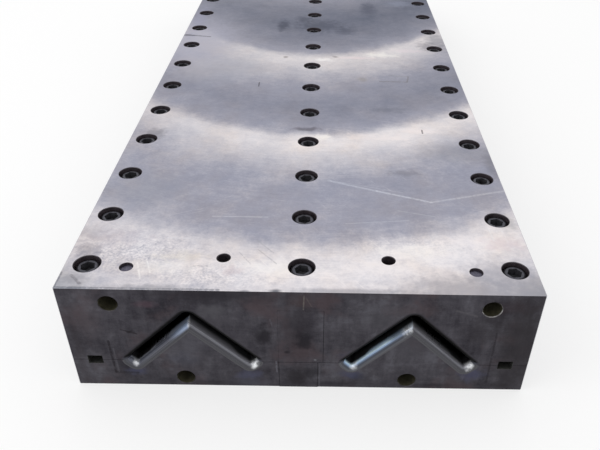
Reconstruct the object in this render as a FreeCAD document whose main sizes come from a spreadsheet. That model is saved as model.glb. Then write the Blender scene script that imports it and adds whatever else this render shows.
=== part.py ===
import FreeCAD, Part
import os
import re

import Sketcher

# Two-cavity split die for an equal angle profile.
# Origin: middle of the base. +X to the right, +Y from the entry face to the exit face, +Z up.

doc = FreeCAD.newDocument("PultrusionDie")

# Driving dimensions in millimetres, or counts
sizes = {
    # Halves of the die
    "dieLength": 900,
    "lowerHeight": 28,
    "apexCover": 22.5,
    "innerLand": 16.5,
    "outerLand": 42.5,
    "edgeBreak": 0.5,
    # Cavities: each is a right-angled V whose toes are flattened where they cross the parting plane
    "profileSpan": 99,
    "profileThickness": 8,
    "profileCornerRadius": 4.5,
    "profileToeRadius": 1.5,
    "profileToeFlat": 1,
    "entryRadius": 5.5,
    # Bars between the cavities
    "upperBarWidth": 34,
    "upperBarCover": 18.5,
    "lowerBarLeft": 17,
    "lowerBarRight": 13,
    # Clamp screws, in three rows along the die
    "screwInset": 16.5,
    "firstScrew": 27.5,
    "screwCount": 14,
    "screwDiameter": 12,
    "screwClearance": 1.5,
    "threadClearance": 0.1,
    "threadRunout": 2.5,
    "baseSkin": 3,
    "headDiameter": 18,
    "headClearance": 2,
    "headHeight": 12,
    "headChamfer": 1,
    "headRecess": 2.5,
    "socketFlats": 10,
    "socketDepth": 6,
    # Cross screws that draw the lower pieces together
    "tieCount": 3,
    "tieRise": 11,
    "tieDiameter": 10,
    "tieClearance": 1,
    "tieTipOffset": 2.5,
    "tieHeadDiameter": 16,
    "tieHeadClearance": 1,
    "tieHeadHeight": 10,
    "tieHeadChamfer": 1,
    "tieRecess": 2.5,
    "tieSocketFlats": 8,
    "tieSocketDepth": 5,
    # Keys and dowels at the parting plane
    "keyCount": 4,
    "keyInset": 17.5,
    "keyWidth": 11,
    "keyHeight": 8,
    "keyEndRoom": 5.75,
    "keyChamfer": 0.5,
    "keyClearance": 0.05,
    "dowelDiameter": 10,
    "dowelLength": 32,
    "dowelChamfer": 1,
    "dowelClearance": 0.05,
    "dowelEndRoom": 1,
    # Tapped holes in the entry face
    "entryHoleDiameter": 14,
    "entryHoleChamfer": 0.5,
    "upperHoleInset": 36.5,
    "upperHoleDrop": 14.5,
    "upperHoleDepth": 16,
    "lowerHoleLeft": 90,
    "lowerHoleRight": 83,
    "lowerHoleRise": 9.5,
    "lowerHoleDepth": 30,
    # Small holes in the top face
    "liftHoleDiameter": 10.2,
    "liftHoleLeft": 59,
    "liftHoleRight": 65,
    "liftHoleFromEntry": 37,
    "liftHoleDepth": 25,
    "plugDiameter": 10,
    "plugClearance": 0.05,
    "plugInset": 46,
    "plugFromEntry": 24.5,
    "plugRecess": 2,
    "plugLength": 9,
}

sheet = doc.addObject("Spreadsheet::Sheet", "Sizes")
for row, (alias, size) in enumerate(sizes.items(), start=1):
    sheet.set(f"A{row}", alias)
    sheet.set(f"B{row}", str(size))
    sheet.setAlias(f"B{row}", alias)
doc.recompute()

# Lengths that follow from the driving ones, as expressions
halfSpan = "(profileSpan / 2)"
toe = "(profileThickness / sqrt(2))"
toeX = f"({halfSpan} - profileToeFlat)"
cavityOffset = f"(upperBarWidth / 2 + innerLand + {halfSpan})"
halfWidth = "(upperBarWidth / 2 + innerLand + profileSpan + outerLand)"
halfLength = "(dieLength / 2)"
upperHeight = f"({halfSpan} + apexCover)"
dieHeight = f"(lowerHeight + {upperHeight})"
screwRow = f"({halfWidth} - screwInset)"
keyRow = f"({halfWidth} - keyInset)"
screwPitch = "((dieLength - 2 * firstScrew) / (screwCount - 1))"
boreDepth = "(headRecess + headHeight)"
firstScrewY = f"(firstScrew - {halfLength})"
tieGap = "floor((screwCount - 2) / (2 * tieCount))"
tieY = f"({firstScrewY} + ({tieGap} + 0.5) * {screwPitch})"
tiePitch = f"(floor((screwCount - 2) / tieCount) * {screwPitch})"


def bound(text):
    """The expression with each driving dimension read from the sheet."""
    return re.sub(r"[A-Za-z]+", lambda word: f"Sizes.{word[0]}" if word[0] in sizes else word[0], text)


def value(text):
    return float(sheet.evalExpression(bound(text)))


# Sketches


def originFeature(body, role):
    return next(feature for feature in body.Origin.OriginFeatures if feature.Role == role)


def newSketch(body, name, role, **offset):
    """A sketch on one of the body's origin planes, moved along the plane's own x, y and z."""
    sketch = body.newObject("Sketcher::SketchObject", name)
    sketch.AttachmentSupport = [(originFeature(body, role), "")]
    sketch.MapMode = "FlatFace"
    for axis, expression in offset.items():
        sketch.setExpression(f"AttachmentOffset.Base.{axis}", bound(expression))
    return sketch


def pinPoint(sketch, geometry, point, place, label):
    """Fix one sketch point at the place that two expressions give."""
    for axis, expression in zip("XY", place):
        constraint = Sketcher.Constraint(f"Distance{axis}", -1, 1, geometry, point, value(expression))
        name = f"{label}{axis}"
        sketch.renameConstraint(sketch.addConstraint(constraint), name)
        sketch.setExpression(f"Constraints.{name}", bound(expression))


def addOutline(sketch, corners):
    """A closed outline of straight lines, with each corner fixed."""
    places = [FreeCAD.Vector(value(x), value(y), 0) for x, y in corners]
    for start, end in zip(places, places[1:] + places[:1]):
        sketch.addGeometry(Part.LineSegment(start, end))
    for line, corner in enumerate(corners):
        sketch.addConstraint(Sketcher.Constraint("Coincident", line, 1, (line - 1) % len(corners), 2))
        pinPoint(sketch, line, 1, corner, f"corner{line}")


def addCircles(sketch, centres, diameter):
    for centre in centres:
        place = FreeCAD.Vector(value(centre[0]), value(centre[1]), 0)
        circle = sketch.addGeometry(Part.Circle(place, FreeCAD.Vector(0, 0, 1), value(diameter) / 2))
        pinPoint(sketch, circle, 3, centre, f"centre{circle}")
        constraint = Sketcher.Constraint("Diameter", circle, value(diameter))
        sketch.renameConstraint(sketch.addConstraint(constraint), f"diameter{circle}")
        sketch.setExpression(f"Constraints.diameter{circle}", bound(diameter))


# Features


def newBody(label):
    body = doc.addObject("PartDesign::Body", label)
    body.Label = label
    return body


def addPad(body, sketch, length):
    """A prism with the sketch's plane half way along it."""
    pad = body.newObject("PartDesign::Pad", f"{sketch.Name}Pad")
    pad.Profile = sketch
    pad.SideType = "Symmetric"
    pad.setExpression("Length", bound(length))
    doc.recompute()
    return pad


def checkCut(body, feature, volumeBefore):
    if not feature.Shape.Volume < volumeBefore:
        raise RuntimeError(f"{body.Label}: {feature.Name} cuts nothing")


def addPocket(body, sketch, depth, reverse=False):
    volumeBefore = body.Shape.Volume
    pocket = body.newObject("PartDesign::Pocket", f"{sketch.Name}Pocket")
    pocket.Profile = sketch
    pocket.Reversed = reverse
    pocket.setExpression("Length", bound(depth))
    doc.recompute()
    checkCut(body, pocket, volumeBefore)
    return pocket


def addHole(body, sketch, diameter, depth=None, bore=None, chamfer=None, reverse=False):
    """Round holes at the sketch's circles: through or to a depth, plain, counterbored or chamfered."""
    doc.recompute()
    volumeBefore = body.Shape.Volume
    hole = body.newObject("PartDesign::Hole", f"{sketch.Name}Hole")
    hole.Profile = sketch
    hole.Reversed = reverse
    hole.ThreadType = "None"
    hole.setExpression("Diameter", bound(diameter))
    hole.DrillPoint = "Flat"
    hole.DepthType = "Dimension" if depth else "ThroughAll"
    if depth:
        hole.setExpression("Depth", bound(depth))
    if bore:
        hole.HoleCutType = "Counterbore"
        hole.setExpression("HoleCutDiameter", bound(bore[0]))
        hole.setExpression("HoleCutDepth", bound(bore[1]))
    if chamfer:
        hole.HoleCutType = "Countersink"
        hole.HoleCutCountersinkAngle = 90
        hole.setExpression("HoleCutDiameter", bound(f"{diameter} + 2 * {chamfer}"))
    doc.recompute()
    checkCut(body, hole, volumeBefore)
    return hole


def addRow(body, features, pitch, count):
    """Repeat features along the die."""
    pattern = body.newObject("PartDesign::LinearPattern", f"{features[0].Name}Row")
    pattern.Originals = features
    pattern.Direction = (originFeature(body, "Y_Axis"), [""])
    pattern.Mode = "Spacing"
    pattern.setExpression("Offset", bound(pitch))
    pattern.setExpression("Occurrences", bound(count))
    body.Tip = pattern
    doc.recompute()
    return pattern


def edgesWhere(body, wanted):
    """Names of the body's edges whose middle passes a test."""
    return [f"Edge{n}" for n, edge in enumerate(body.Shape.Edges, start=1) if wanted(edge)]


def addEdgeFeature(body, kind, size, wanted):
    """A fillet or chamfer on the edges that pass a test."""
    base = body.Tip
    edges = edgesWhere(body, wanted)
    feature = body.newObject(f"PartDesign::{kind}", f"{base.Name}{kind}")
    feature.Base = (base, edges)
    feature.setExpression("Radius" if kind == "Fillet" else "Size", bound(size))
    doc.recompute()
    return feature


# Tests that pick edges by where they lie

tolerance = 0.001


def near(a, b):
    return abs(a - b) < tolerance


def alongDie(edge):
    """Edges that run the length of the die."""
    return near(edge.BoundBox.YLength, value("dieLength"))


def inEntryFace(edge):
    return near(edge.BoundBox.YMax, -value(halfLength))


def atCavityX(edge):
    """Edges within the width of one cavity."""
    fromAxis = abs(abs(edge.CenterOfMass.x) - value(cavityOffset))
    return fromAxis < value(halfSpan) - tolerance


def onEnds(edge):
    return near(abs(edge.CenterOfMass.y), value(halfLength))


def onSide(edge):
    return near(abs(edge.CenterOfMass.x), value(halfWidth))


# Upper half


def makeUpperDie():
    """The thick block with both female recesses, the seat of the centre bar and every counterbore."""
    body = newBody("upper_die")
    keywaySide = "(keyWidth / 2 + keyClearance)"
    keywayTop = "lowerHeight + keyHeight / 2 + keyClearance"
    rightHalf = [
        ("upperBarWidth / 2", f"{dieHeight} - upperBarCover"),
        ("upperBarWidth / 2", "lowerHeight"),
        (f"{cavityOffset} - {toeX}", "lowerHeight"),
        (f"{cavityOffset} - {toeX}", "lowerHeight + profileToeFlat"),
        (cavityOffset, f"lowerHeight + {halfSpan}"),
        (f"{cavityOffset} + {toeX}", "lowerHeight + profileToeFlat"),
        (f"{cavityOffset} + {toeX}", "lowerHeight"),
        (f"{keyRow} - {keywaySide}", "lowerHeight"),
        (f"{keyRow} - {keywaySide}", keywayTop),
        (f"{keyRow} + {keywaySide}", keywayTop),
        (f"{keyRow} + {keywaySide}", "lowerHeight"),
        (halfWidth, "lowerHeight"),
        (halfWidth, dieHeight),
    ]
    leftHalf = [(f"-({x})", z) for x, z in reversed(rightHalf)]
    section = newSketch(body, "upperSection", "XZ_Plane")
    addOutline(section, rightHalf + leftHalf)
    addPad(body, section, "dieLength")

    crown = value(f"lowerHeight + {halfSpan}")
    toeTop = value("lowerHeight + profileToeFlat")
    addEdgeFeature(
        body, "Fillet", "profileCornerRadius", lambda edge: alongDie(edge) and near(edge.CenterOfMass.z, crown)
    )
    addEdgeFeature(
        body, "Fillet", "profileToeRadius", lambda edge: alongDie(edge) and near(edge.CenterOfMass.z, toeTop)
    )
    addEdgeFeature(
        body,
        "Fillet",
        "entryRadius",
        lambda edge: inEntryFace(edge)
        and atCavityX(edge)
        and value("lowerHeight") + tolerance < edge.CenterOfMass.z < crown,
    )

    top = value(dieHeight)
    addEdgeFeature(
        body,
        "Chamfer",
        "edgeBreak",
        lambda edge: near(edge.BoundBox.ZMin, top) or (onEnds(edge) and onSide(edge)),
    )

    screws = newSketch(body, "upperScrews", "XY_Plane", z=dieHeight)
    addCircles(screws, [(x, firstScrewY) for x in (f"-{screwRow}", "0", screwRow)], "headDiameter")
    clampHole = addHole(
        body,
        screws,
        "screwDiameter + screwClearance",
        bore=("headDiameter + headClearance", boreDepth),
    )
    addRow(body, [clampHole], screwPitch, "screwCount")

    lifting = newSketch(body, "liftHoles", "XY_Plane", z=dieHeight)
    liftY = f"liftHoleFromEntry - {halfLength}"
    addCircles(lifting, [("-liftHoleLeft", liftY), ("liftHoleRight", liftY)], "liftHoleDiameter")
    addHole(body, lifting, "liftHoleDiameter", depth="liftHoleDepth")

    plugs = newSketch(body, "plugHoles", "XY_Plane", z=dieHeight)
    plugX = f"({halfWidth} - plugInset)"
    plugY = f"plugFromEntry - {halfLength}"
    addCircles(plugs, [(f"-{plugX}", plugY), (plugX, plugY)], "plugDiameter")
    addHole(body, plugs, "plugDiameter + 2 * plugClearance", depth="plugRecess + plugLength")

    entry = newSketch(body, "upperEntryHoles", "XZ_Plane", z=halfLength)
    entryX = f"({halfWidth} - upperHoleInset)"
    entryZ = f"{dieHeight} - upperHoleDrop"
    addCircles(entry, [(f"-{entryX}", entryZ), (entryX, entryZ)], "entryHoleDiameter")
    addHole(body, entry, "entryHoleDiameter", depth="upperHoleDepth", chamfer="entryHoleChamfer")
    return body


def makeUpperBar():
    """The bar let into the upper block between the cavities."""
    body = newBody("upper_centre_bar")
    top = f"{dieHeight} - upperBarCover"
    section = newSketch(body, "upperBarSection", "XZ_Plane")
    side = "upperBarWidth / 2"
    addOutline(section, [(f"-{side}", "lowerHeight"), (side, "lowerHeight"), (side, top), (f"-{side}", top)])
    addPad(body, section, "dieLength")

    screws = newSketch(body, "upperBarScrews", "XY_Plane", z=top)
    addCircles(screws, [("0", firstScrewY)], "screwDiameter")
    clampHole = addHole(body, screws, "screwDiameter + screwClearance")
    addRow(body, [clampHole], screwPitch, "screwCount")

    dowels = newSketch(body, "upperBarDowels", "XY_Plane", z="lowerHeight")
    addCircles(dowels, [("0", dowelY(end)) for end in ("front", "rear")], "dowelDiameter")
    addHole(
        body,
        dowels,
        "dowelDiameter + 2 * dowelClearance",
        depth="dowelLength / 2 + dowelEndRoom",
        reverse=True,
    )
    return body


# Lower half


def addTapped(body, name, x):
    """Tapped holes for one row of clamp screws, down from the parting plane."""
    screws = newSketch(body, name, "XY_Plane", z="lowerHeight")
    addCircles(screws, [(x, firstScrewY)], "screwDiameter")
    tapped = addHole(body, screws, "screwDiameter + threadClearance", depth="lowerHeight - baseSkin")
    addRow(body, [tapped], screwPitch, "screwCount")


def makeLowerDie(label, side, innerEdge, holeX):
    """One lower rail with its male ridge. side is 1 on the right and -1 on the left."""
    body = newBody(label)
    keywaySide = "(keyWidth / 2 + keyClearance)"
    keywayFloor = "lowerHeight - keyHeight / 2"
    corners = [
        (innerEdge, "0"),
        (halfWidth, "0"),
        (halfWidth, "lowerHeight"),
        (f"{keyRow} + {keywaySide}", "lowerHeight"),
        (f"{keyRow} + {keywaySide}", keywayFloor),
        (f"{keyRow} - {keywaySide}", keywayFloor),
        (f"{keyRow} - {keywaySide}", "lowerHeight"),
        (f"{cavityOffset} + {toeX}", "lowerHeight"),
        (f"{cavityOffset} + {toeX}", "lowerHeight - profileToeFlat"),
        (f"{cavityOffset} + {halfSpan} - {toe}", f"lowerHeight - {toe}"),
        (cavityOffset, f"lowerHeight + {halfSpan} - 2 * {toe}"),
        (f"{cavityOffset} - {halfSpan} + {toe}", f"lowerHeight - {toe}"),
        (f"{cavityOffset} - {toeX}", "lowerHeight - profileToeFlat"),
        (f"{cavityOffset} - {toeX}", "lowerHeight"),
        (innerEdge, "lowerHeight"),
    ]
    section = newSketch(body, f"{label}_section", "XZ_Plane")
    addOutline(section, [(f"{side} * ({x})", z) for x, z in corners])
    addPad(body, section, "dieLength")

    toeFloor = value(f"lowerHeight - {toe}")
    toeBottom = value("lowerHeight - profileToeFlat")
    addEdgeFeature(
        body,
        "Fillet",
        "profileToeRadius",
        lambda edge: alongDie(edge)
        and (near(edge.CenterOfMass.z, toeFloor) or near(edge.CenterOfMass.z, toeBottom)),
    )
    addEdgeFeature(
        body,
        "Fillet",
        "entryRadius",
        lambda edge: inEntryFace(edge) and atCavityX(edge) and edge.CenterOfMass.z > toeFloor,
    )
    addEdgeFeature(
        body,
        "Chamfer",
        "edgeBreak",
        lambda edge: (onSide(edge) and (onEnds(edge) or near(edge.BoundBox.ZMax, 0)))
        or (onEnds(edge) and near(edge.BoundBox.ZMax, 0)),
    )
    addTapped(body, f"{label}_screws", f"{side} * {screwRow}")

    entry = newSketch(body, f"{label}_entryHole", "XZ_Plane", z=halfLength)
    addCircles(entry, [(f"{side} * {holeX}", "lowerHoleRise")], "entryHoleDiameter")
    addHole(body, entry, "entryHoleDiameter", depth="lowerHoleDepth", chamfer="entryHoleChamfer")

    ties = newSketch(body, f"{label}_ties", "YZ_Plane", z=f"{side} * {halfWidth}")
    addCircles(ties, [(tieY, "tieRise")], "tieDiameter")
    tieHole = addHole(
        body,
        ties,
        "tieDiameter + tieClearance",
        bore=("tieHeadDiameter + tieHeadClearance", "tieRecess + tieHeadHeight"),
        reverse=side < 0,
    )
    addRow(body, [tieHole], tiePitch, "tieCount")
    return body


def makeLowerBar():
    """The narrow bar that both rails are drawn against."""
    body = newBody("lower_centre_bar")
    section = newSketch(body, "lowerBarSection", "XZ_Plane")
    addOutline(
        section,
        [
            ("-lowerBarLeft", "0"),
            ("lowerBarRight", "0"),
            ("lowerBarRight", "lowerHeight"),
            ("-lowerBarLeft", "lowerHeight"),
        ],
    )
    addPad(body, section, "dieLength")
    addEdgeFeature(body, "Chamfer", "edgeBreak", lambda edge: onEnds(edge) and near(edge.BoundBox.ZMax, 0))
    addTapped(body, "lowerBarScrews", "0")

    dowels = newSketch(body, "lowerBarDowels", "XY_Plane", z="lowerHeight")
    addCircles(dowels, [("0", dowelY(end)) for end in ("front", "rear")], "dowelDiameter")
    addHole(body, dowels, "dowelDiameter + 2 * dowelClearance", depth="dowelLength / 2 + dowelEndRoom")

    ties = newSketch(body, "lowerBarTies", "YZ_Plane", z="lowerBarRight")
    addCircles(ties, [(tieY, "tieRise")], "tieDiameter")
    tieHole = addHole(body, ties, "tieDiameter + threadClearance")
    addRow(body, [tieHole], tiePitch, "tieCount")
    return body


# Fasteners, keys and plugs


def addSocket(body, sketch, flats, depth, reverse=False):
    """A hexagon socket about the sketch's origin."""
    radius = f"({flats}) / sqrt(3)"
    corners = [
        (radius, "0"),
        (f"{radius} / 2", f"{flats} / 2"),
        (f"-{radius} / 2", f"{flats} / 2"),
        (f"-{radius}", "0"),
        (f"-{radius} / 2", f"-{flats} / 2"),
        (f"{radius} / 2", f"-{flats} / 2"),
    ]
    addOutline(sketch, corners)
    return addPocket(body, sketch, depth, reverse)


def addRevolution(body, sketch, axis):
    turned = body.newObject("PartDesign::Revolution", f"{sketch.Name}Revolution")
    turned.Profile = sketch
    turned.ReferenceAxis = (sketch, [axis])
    turned.Angle = 360
    doc.recompute()
    return turned


def makeClampScrews(label, x):
    """One row of socket head screws as separate solids."""
    body = newBody(label)
    body.AllowCompound = True
    seat = f"({dieHeight} - {boreDepth})"
    head = f"({dieHeight} - headRecess)"
    tip = "(baseSkin + threadRunout)"
    section = newSketch(body, f"{label}_section", "XZ_Plane", x=x, z=f"-({firstScrewY})")
    addOutline(
        section,
        [
            ("0", tip),
            ("screwDiameter / 2", tip),
            ("screwDiameter / 2", seat),
            ("headDiameter / 2", seat),
            ("headDiameter / 2", f"{head} - headChamfer"),
            ("headDiameter / 2 - headChamfer", head),
            ("0", head),
        ],
    )
    turned = addRevolution(body, section, "V_Axis")
    socket = newSketch(body, f"{label}_socket", "XY_Plane", x=x, y=firstScrewY, z=head)
    pocket = addSocket(body, socket, "socketFlats", "socketDepth")
    addRow(body, [turned, pocket], screwPitch, "screwCount")
    return body


def makeTieScrews(label, side):
    """The cross screws of one side as separate solids. side is 1 on the right and -1 on the left."""
    body = newBody(label)
    body.AllowCompound = True
    head = f"({halfWidth} - tieRecess)"
    seat = f"({head} - tieHeadHeight)"
    section = newSketch(body, f"{label}_section", "XY_Plane", y=tieY, z="tieRise")
    corners = [
        ("tieTipOffset", "0"),
        ("tieTipOffset", "tieDiameter / 2"),
        (seat, "tieDiameter / 2"),
        (seat, "tieHeadDiameter / 2"),
        (f"{head} - tieHeadChamfer", "tieHeadDiameter / 2"),
        (head, "tieHeadDiameter / 2 - tieHeadChamfer"),
        (head, "0"),
    ]
    addOutline(section, [(f"{side} * ({along})", out) for along, out in corners])
    turned = addRevolution(body, section, "H_Axis")
    socket = newSketch(body, f"{label}_socket", "YZ_Plane", x=tieY, y="tieRise", z=f"{side} * {head}")
    pocket = addSocket(body, socket, "tieSocketFlats", "tieSocketDepth", reverse=side < 0)
    addRow(body, [turned, pocket], tiePitch, "tieCount")
    return body


def makeKey(label, side, index):
    """A key that fills one gap between two clamp screws."""
    body = newBody(label)
    gap = f"(floor((screwCount - 2) * {index} / (keyCount - 1)) + 0.5)"
    middleY = f"{firstScrewY} + {gap} * {screwPitch}"
    section = newSketch(body, f"{label}_section", "XZ_Plane", x=f"{side} * {keyRow}", z=f"-({middleY})")
    floorZ = "lowerHeight - keyHeight / 2"
    topZ = "lowerHeight + keyHeight / 2"
    half = "keyWidth / 2"
    addOutline(section, [(f"-{half}", floorZ), (half, floorZ), (half, topZ), (f"-{half}", topZ)])
    addPad(body, section, f"{screwPitch} - screwDiameter - screwClearance - 2 * keyEndRoom")
    addEdgeFeature(body, "Chamfer", "keyChamfer", lambda edge: near(edge.BoundBox.YLength, 0))
    return body


def dowelY(end):
    """Dowels stand in the first and the last gap between the centre screws."""
    gap = {"front": "0.5", "rear": "(screwCount - 1.5)"}[end]
    return f"{firstScrewY} + {gap} * {screwPitch}"


def makeDowel(end):
    body = newBody(f"dowel_{end}")
    section = newSketch(body, f"dowel_{end}_section", "XZ_Plane", z=f"-({dowelY(end)})")
    foot = "(lowerHeight - dowelLength / 2)"
    top = "(lowerHeight + dowelLength / 2)"
    addOutline(
        section,
        [
            ("0", foot),
            ("dowelDiameter / 2 - dowelChamfer", foot),
            ("dowelDiameter / 2", f"{foot} + dowelChamfer"),
            ("dowelDiameter / 2", f"{top} - dowelChamfer"),
            ("dowelDiameter / 2 - dowelChamfer", top),
            ("0", top),
        ],
    )
    addRevolution(body, section, "V_Axis")
    return body


def makePlug(label, side):
    body = newBody(label)
    top = f"({dieHeight} - plugRecess)"
    section = newSketch(
        body,
        f"{label}_section",
        "XZ_Plane",
        x=f"{side} * ({halfWidth} - plugInset)",
        z=f"{halfLength} - plugFromEntry",
    )
    addOutline(
        section,
        [
            ("0", f"{top} - plugLength"),
            ("plugDiameter / 2", f"{top} - plugLength"),
            ("plugDiameter / 2", top),
            ("0", top),
        ],
    )
    addRevolution(body, section, "V_Axis")
    return body


# The whole die

pieces = [
    makeUpperDie(),
    makeUpperBar(),
    makeLowerDie("lower_die_left", -1, "lowerBarLeft", "lowerHoleLeft"),
    makeLowerDie("lower_die_right", 1, "lowerBarRight", "lowerHoleRight"),
    makeLowerBar(),
    makeClampScrews("clamp_screws_left", f"-{screwRow}"),
    makeClampScrews("clamp_screws_centre", "0"),
    makeClampScrews("clamp_screws_right", screwRow),
    makeTieScrews("tie_screws_left", -1),
    makeTieScrews("tie_screws_right", 1),
    makeDowel("front"),
    makeDowel("rear"),
    makePlug("plug_left", -1),
    makePlug("plug_right", 1),
]
for sideName, side in (("left", -1), ("right", 1)):
    for index in range(int(value("keyCount"))):
        pieces.append(makeKey(f"key_{sideName}_{index + 1}", side, index))
doc.recompute()

failed = [item.Name for item in doc.Objects if {"Invalid", "Error"} & set(item.State)]
if failed:
    raise RuntimeError(f"Objects that did not build: {failed}")
for piece in pieces:
    if piece.Shape.isNull() or not piece.Shape.isValid():
        raise RuntimeError(f"{piece.Label} has no valid shape")

os.makedirs("parts", exist_ok=True)
for piece in pieces:
    piece.Shape.exportStep(f"parts/{piece.Label}.step")
    print(f"{piece.Label}: {len(piece.Shape.Solids)} solids, {piece.Shape.Volume / 1000:.1f} cm3")
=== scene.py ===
import math
import random

import bmesh
import bpy
from mathutils import Matrix, Vector


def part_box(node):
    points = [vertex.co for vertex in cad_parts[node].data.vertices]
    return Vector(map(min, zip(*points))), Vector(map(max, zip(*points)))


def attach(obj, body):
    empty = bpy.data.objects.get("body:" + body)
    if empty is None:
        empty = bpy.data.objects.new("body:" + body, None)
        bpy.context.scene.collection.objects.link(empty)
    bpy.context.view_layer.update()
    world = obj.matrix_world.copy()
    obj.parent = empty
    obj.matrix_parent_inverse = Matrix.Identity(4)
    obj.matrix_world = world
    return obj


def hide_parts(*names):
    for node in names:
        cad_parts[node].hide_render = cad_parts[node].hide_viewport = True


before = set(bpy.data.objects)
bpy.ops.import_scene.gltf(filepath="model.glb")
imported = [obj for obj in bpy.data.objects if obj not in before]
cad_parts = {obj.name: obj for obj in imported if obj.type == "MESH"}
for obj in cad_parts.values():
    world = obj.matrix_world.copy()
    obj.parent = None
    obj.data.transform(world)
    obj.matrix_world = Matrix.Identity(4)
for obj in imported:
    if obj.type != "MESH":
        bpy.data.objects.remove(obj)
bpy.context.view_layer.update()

print("frame loaded with", len(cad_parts), "nodes")

mm = 0.001

# Where the die stands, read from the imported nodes
upperLow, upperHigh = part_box("upper_die")
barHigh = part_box("upper_centre_bar")[1]
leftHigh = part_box("lower_die_left")[1]
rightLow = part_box("lower_die_right")[0]
die = {
    "halfWidth": upperHigh.x,
    "entry": upperLow.y,
    "exit": upperHigh.y,
    "top": upperHigh.z,
    "parting": upperLow.z,
    "barHalf": barHigh.x,
    "barTop": barHigh.z,
    "lowerLeftInner": leftHigh.x,
    "lowerRightInner": rightLow.x,
}

# The V of the profile and the flare of its mouth
cavity = {
    "offset": 83 * mm,
    "halfSpan": 49.5 * mm,
    "thickness": 8 * mm,
    "cornerRadius": 4.5 * mm,
    "toeRadius": 1.5 * mm,
    "toeFlat": 1 * mm,
    "entryRadius": 5.5 * mm,
    "entrySteps": 10,
    "cornerSteps": 14,
    "toeSteps": 8,
}
toeTurn = math.tan(math.radians(22.5))  # from a toe's corner to where its rounding starts, for each radius

# How much the ground edges are broken
edges = {
    "outer": 0.6 * mm,
    "seam": 0.16 * mm,
    "faintSeam": 0.06 * mm,
    "exitRecess": 0.3 * mm,
    "holeRim": 0.4 * mm,
}


# Outlines of the blocks, seen from the entry, each point with the kind of edge that starts there


def arcPoints(centre, radius, startAngle, endAngle, steps):
    points = []
    for step in range(steps + 1):
        angle = math.radians(startAngle + (endAngle - startAngle) * step / steps)
        points.append((centre[0] + radius * math.cos(angle), centre[1] + radius * math.sin(angle)))
    return points


def recessOutline(side):
    # the female V from its left toe over the rounded corner to its right toe
    x, z, half, radius = side * cavity["offset"], die["parting"], cavity["halfSpan"], cavity["cornerRadius"]
    toeX, small = half - cavity["toeFlat"], cavity["toeRadius"]
    toeZ = z + cavity["toeFlat"] - small * toeTurn
    leftToe = arcPoints((x - toeX + small, toeZ), small, 180, 135, cavity["toeSteps"] // 2)
    corner = arcPoints((x, z + half - radius * math.sqrt(2)), radius, 135, 45, cavity["cornerSteps"])
    rightToe = arcPoints((x + toeX - small, toeZ), small, 45, 0, cavity["toeSteps"] // 2)
    points = [(x - toeX, z)] + leftToe + corner + rightToe
    return [(px, pz, "lip") for px, pz in points] + [(x + toeX, z, "parting")]


def ridgeOutline(side):
    # the male V from its right toe over the sharp ridge to its left toe
    x, z, half, radius = side * cavity["offset"], die["parting"], cavity["halfSpan"], cavity["toeRadius"]
    toeX, toe = half - cavity["toeFlat"], cavity["thickness"] / math.sqrt(2)
    upperZ = z - cavity["toeFlat"] + radius * toeTurn
    lowerX, lowerZ = half - toe, z - toe + radius * math.sqrt(2)
    points = [(x + toeX, z)] + arcPoints((x + toeX - radius, upperZ), radius, 0, -45, cavity["toeSteps"] // 2)
    points += arcPoints((x + lowerX, lowerZ), radius, -45, -135, cavity["toeSteps"])
    points += [(x, z + half - 2 * toe)]
    points += arcPoints((x - lowerX, lowerZ), radius, -45, -135, cavity["toeSteps"])
    points += arcPoints((x - toeX + radius, upperZ), radius, -135, -180, cavity["toeSteps"] // 2)
    return [(px, pz, "ridge") for px, pz in points] + [(x - toeX, z, "parting")]


keyway = {"row": 157.5 * mm, "half": 5.55 * mm, "up": 4.05 * mm, "down": 4.0 * mm}


def keywayOutline(side, depth, turn):
    # a square slot in the parting face; turn is 1 from left to right and -1 from right to left
    x, z, half = side * keyway["row"], die["parting"], turn * keyway["half"]
    return [
        (x - half, z, "keyway"),
        (x - half, z + depth, "keyway"),
        (x + half, z + depth, "keyway"),
        (x + half, z, "parting"),
    ]


def upperOutline():
    wide, top, parting, bar = die["halfWidth"], die["top"], die["parting"], die["barHalf"]
    broken, seam = edges["outer"], edges["seam"]
    points = [(bar, die["barTop"], "seam"), (bar, parting, "parting")]
    points += recessOutline(1) + keywayOutline(1, keyway["up"], 1)
    points += [(wide - seam, parting, "side"), (wide, parting + seam, "side")]
    points += [(wide, top - broken, "edge"), (wide - broken, top, "top")]
    points += [(broken - wide, top, "edge"), (-wide, top - broken, "side")]
    points += [(-wide, parting + seam, "side"), (seam - wide, parting, "parting")]
    points += keywayOutline(-1, keyway["up"], 1) + recessOutline(-1)
    points += [(-bar, parting, "slot"), (-bar, die["barTop"], "slot")]
    return points


def lowerOutline(side):
    wide, parting, broken, seam = die["halfWidth"], die["parting"], edges["outer"], edges["seam"]
    if side > 0:
        inner = die["lowerRightInner"]
        points = [(inner, 0, "base"), (wide - broken, 0, "edge"), (wide, broken, "side")]
        points += [(wide, parting - seam, "side"), (wide - seam, parting, "parting")]
        points += keywayOutline(1, -keyway["down"], -1) + ridgeOutline(1)
        return points + [(inner + seam, parting, "seam"), (inner, parting - seam, "seam")]
    inner = die["lowerLeftInner"]
    points = [(-wide, broken, "edge"), (broken - wide, 0, "base"), (inner, 0, "seam")]
    points += [(inner, parting - seam, "seam"), (inner - seam, parting, "parting")]
    points += ridgeOutline(-1) + keywayOutline(-1, -keyway["down"], -1)
    return points + [(seam - wide, parting, "side"), (-wide, parting - seam, "side")]


def barOutline(left, right, low, high, lowKind, highKind, leftKind):
    seam = edges["seam"]
    return [
        (left + seam, low, lowKind),
        (right - seam, low, "seam"),
        (right, low + seam, "seam"),
        (right, high - seam, "seam"),
        (right - seam, high, highKind),
        (left + seam, high, "seam"),
        (left, high - seam, leftKind),
        (left, low + seam, "seam"),
    ]


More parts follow.
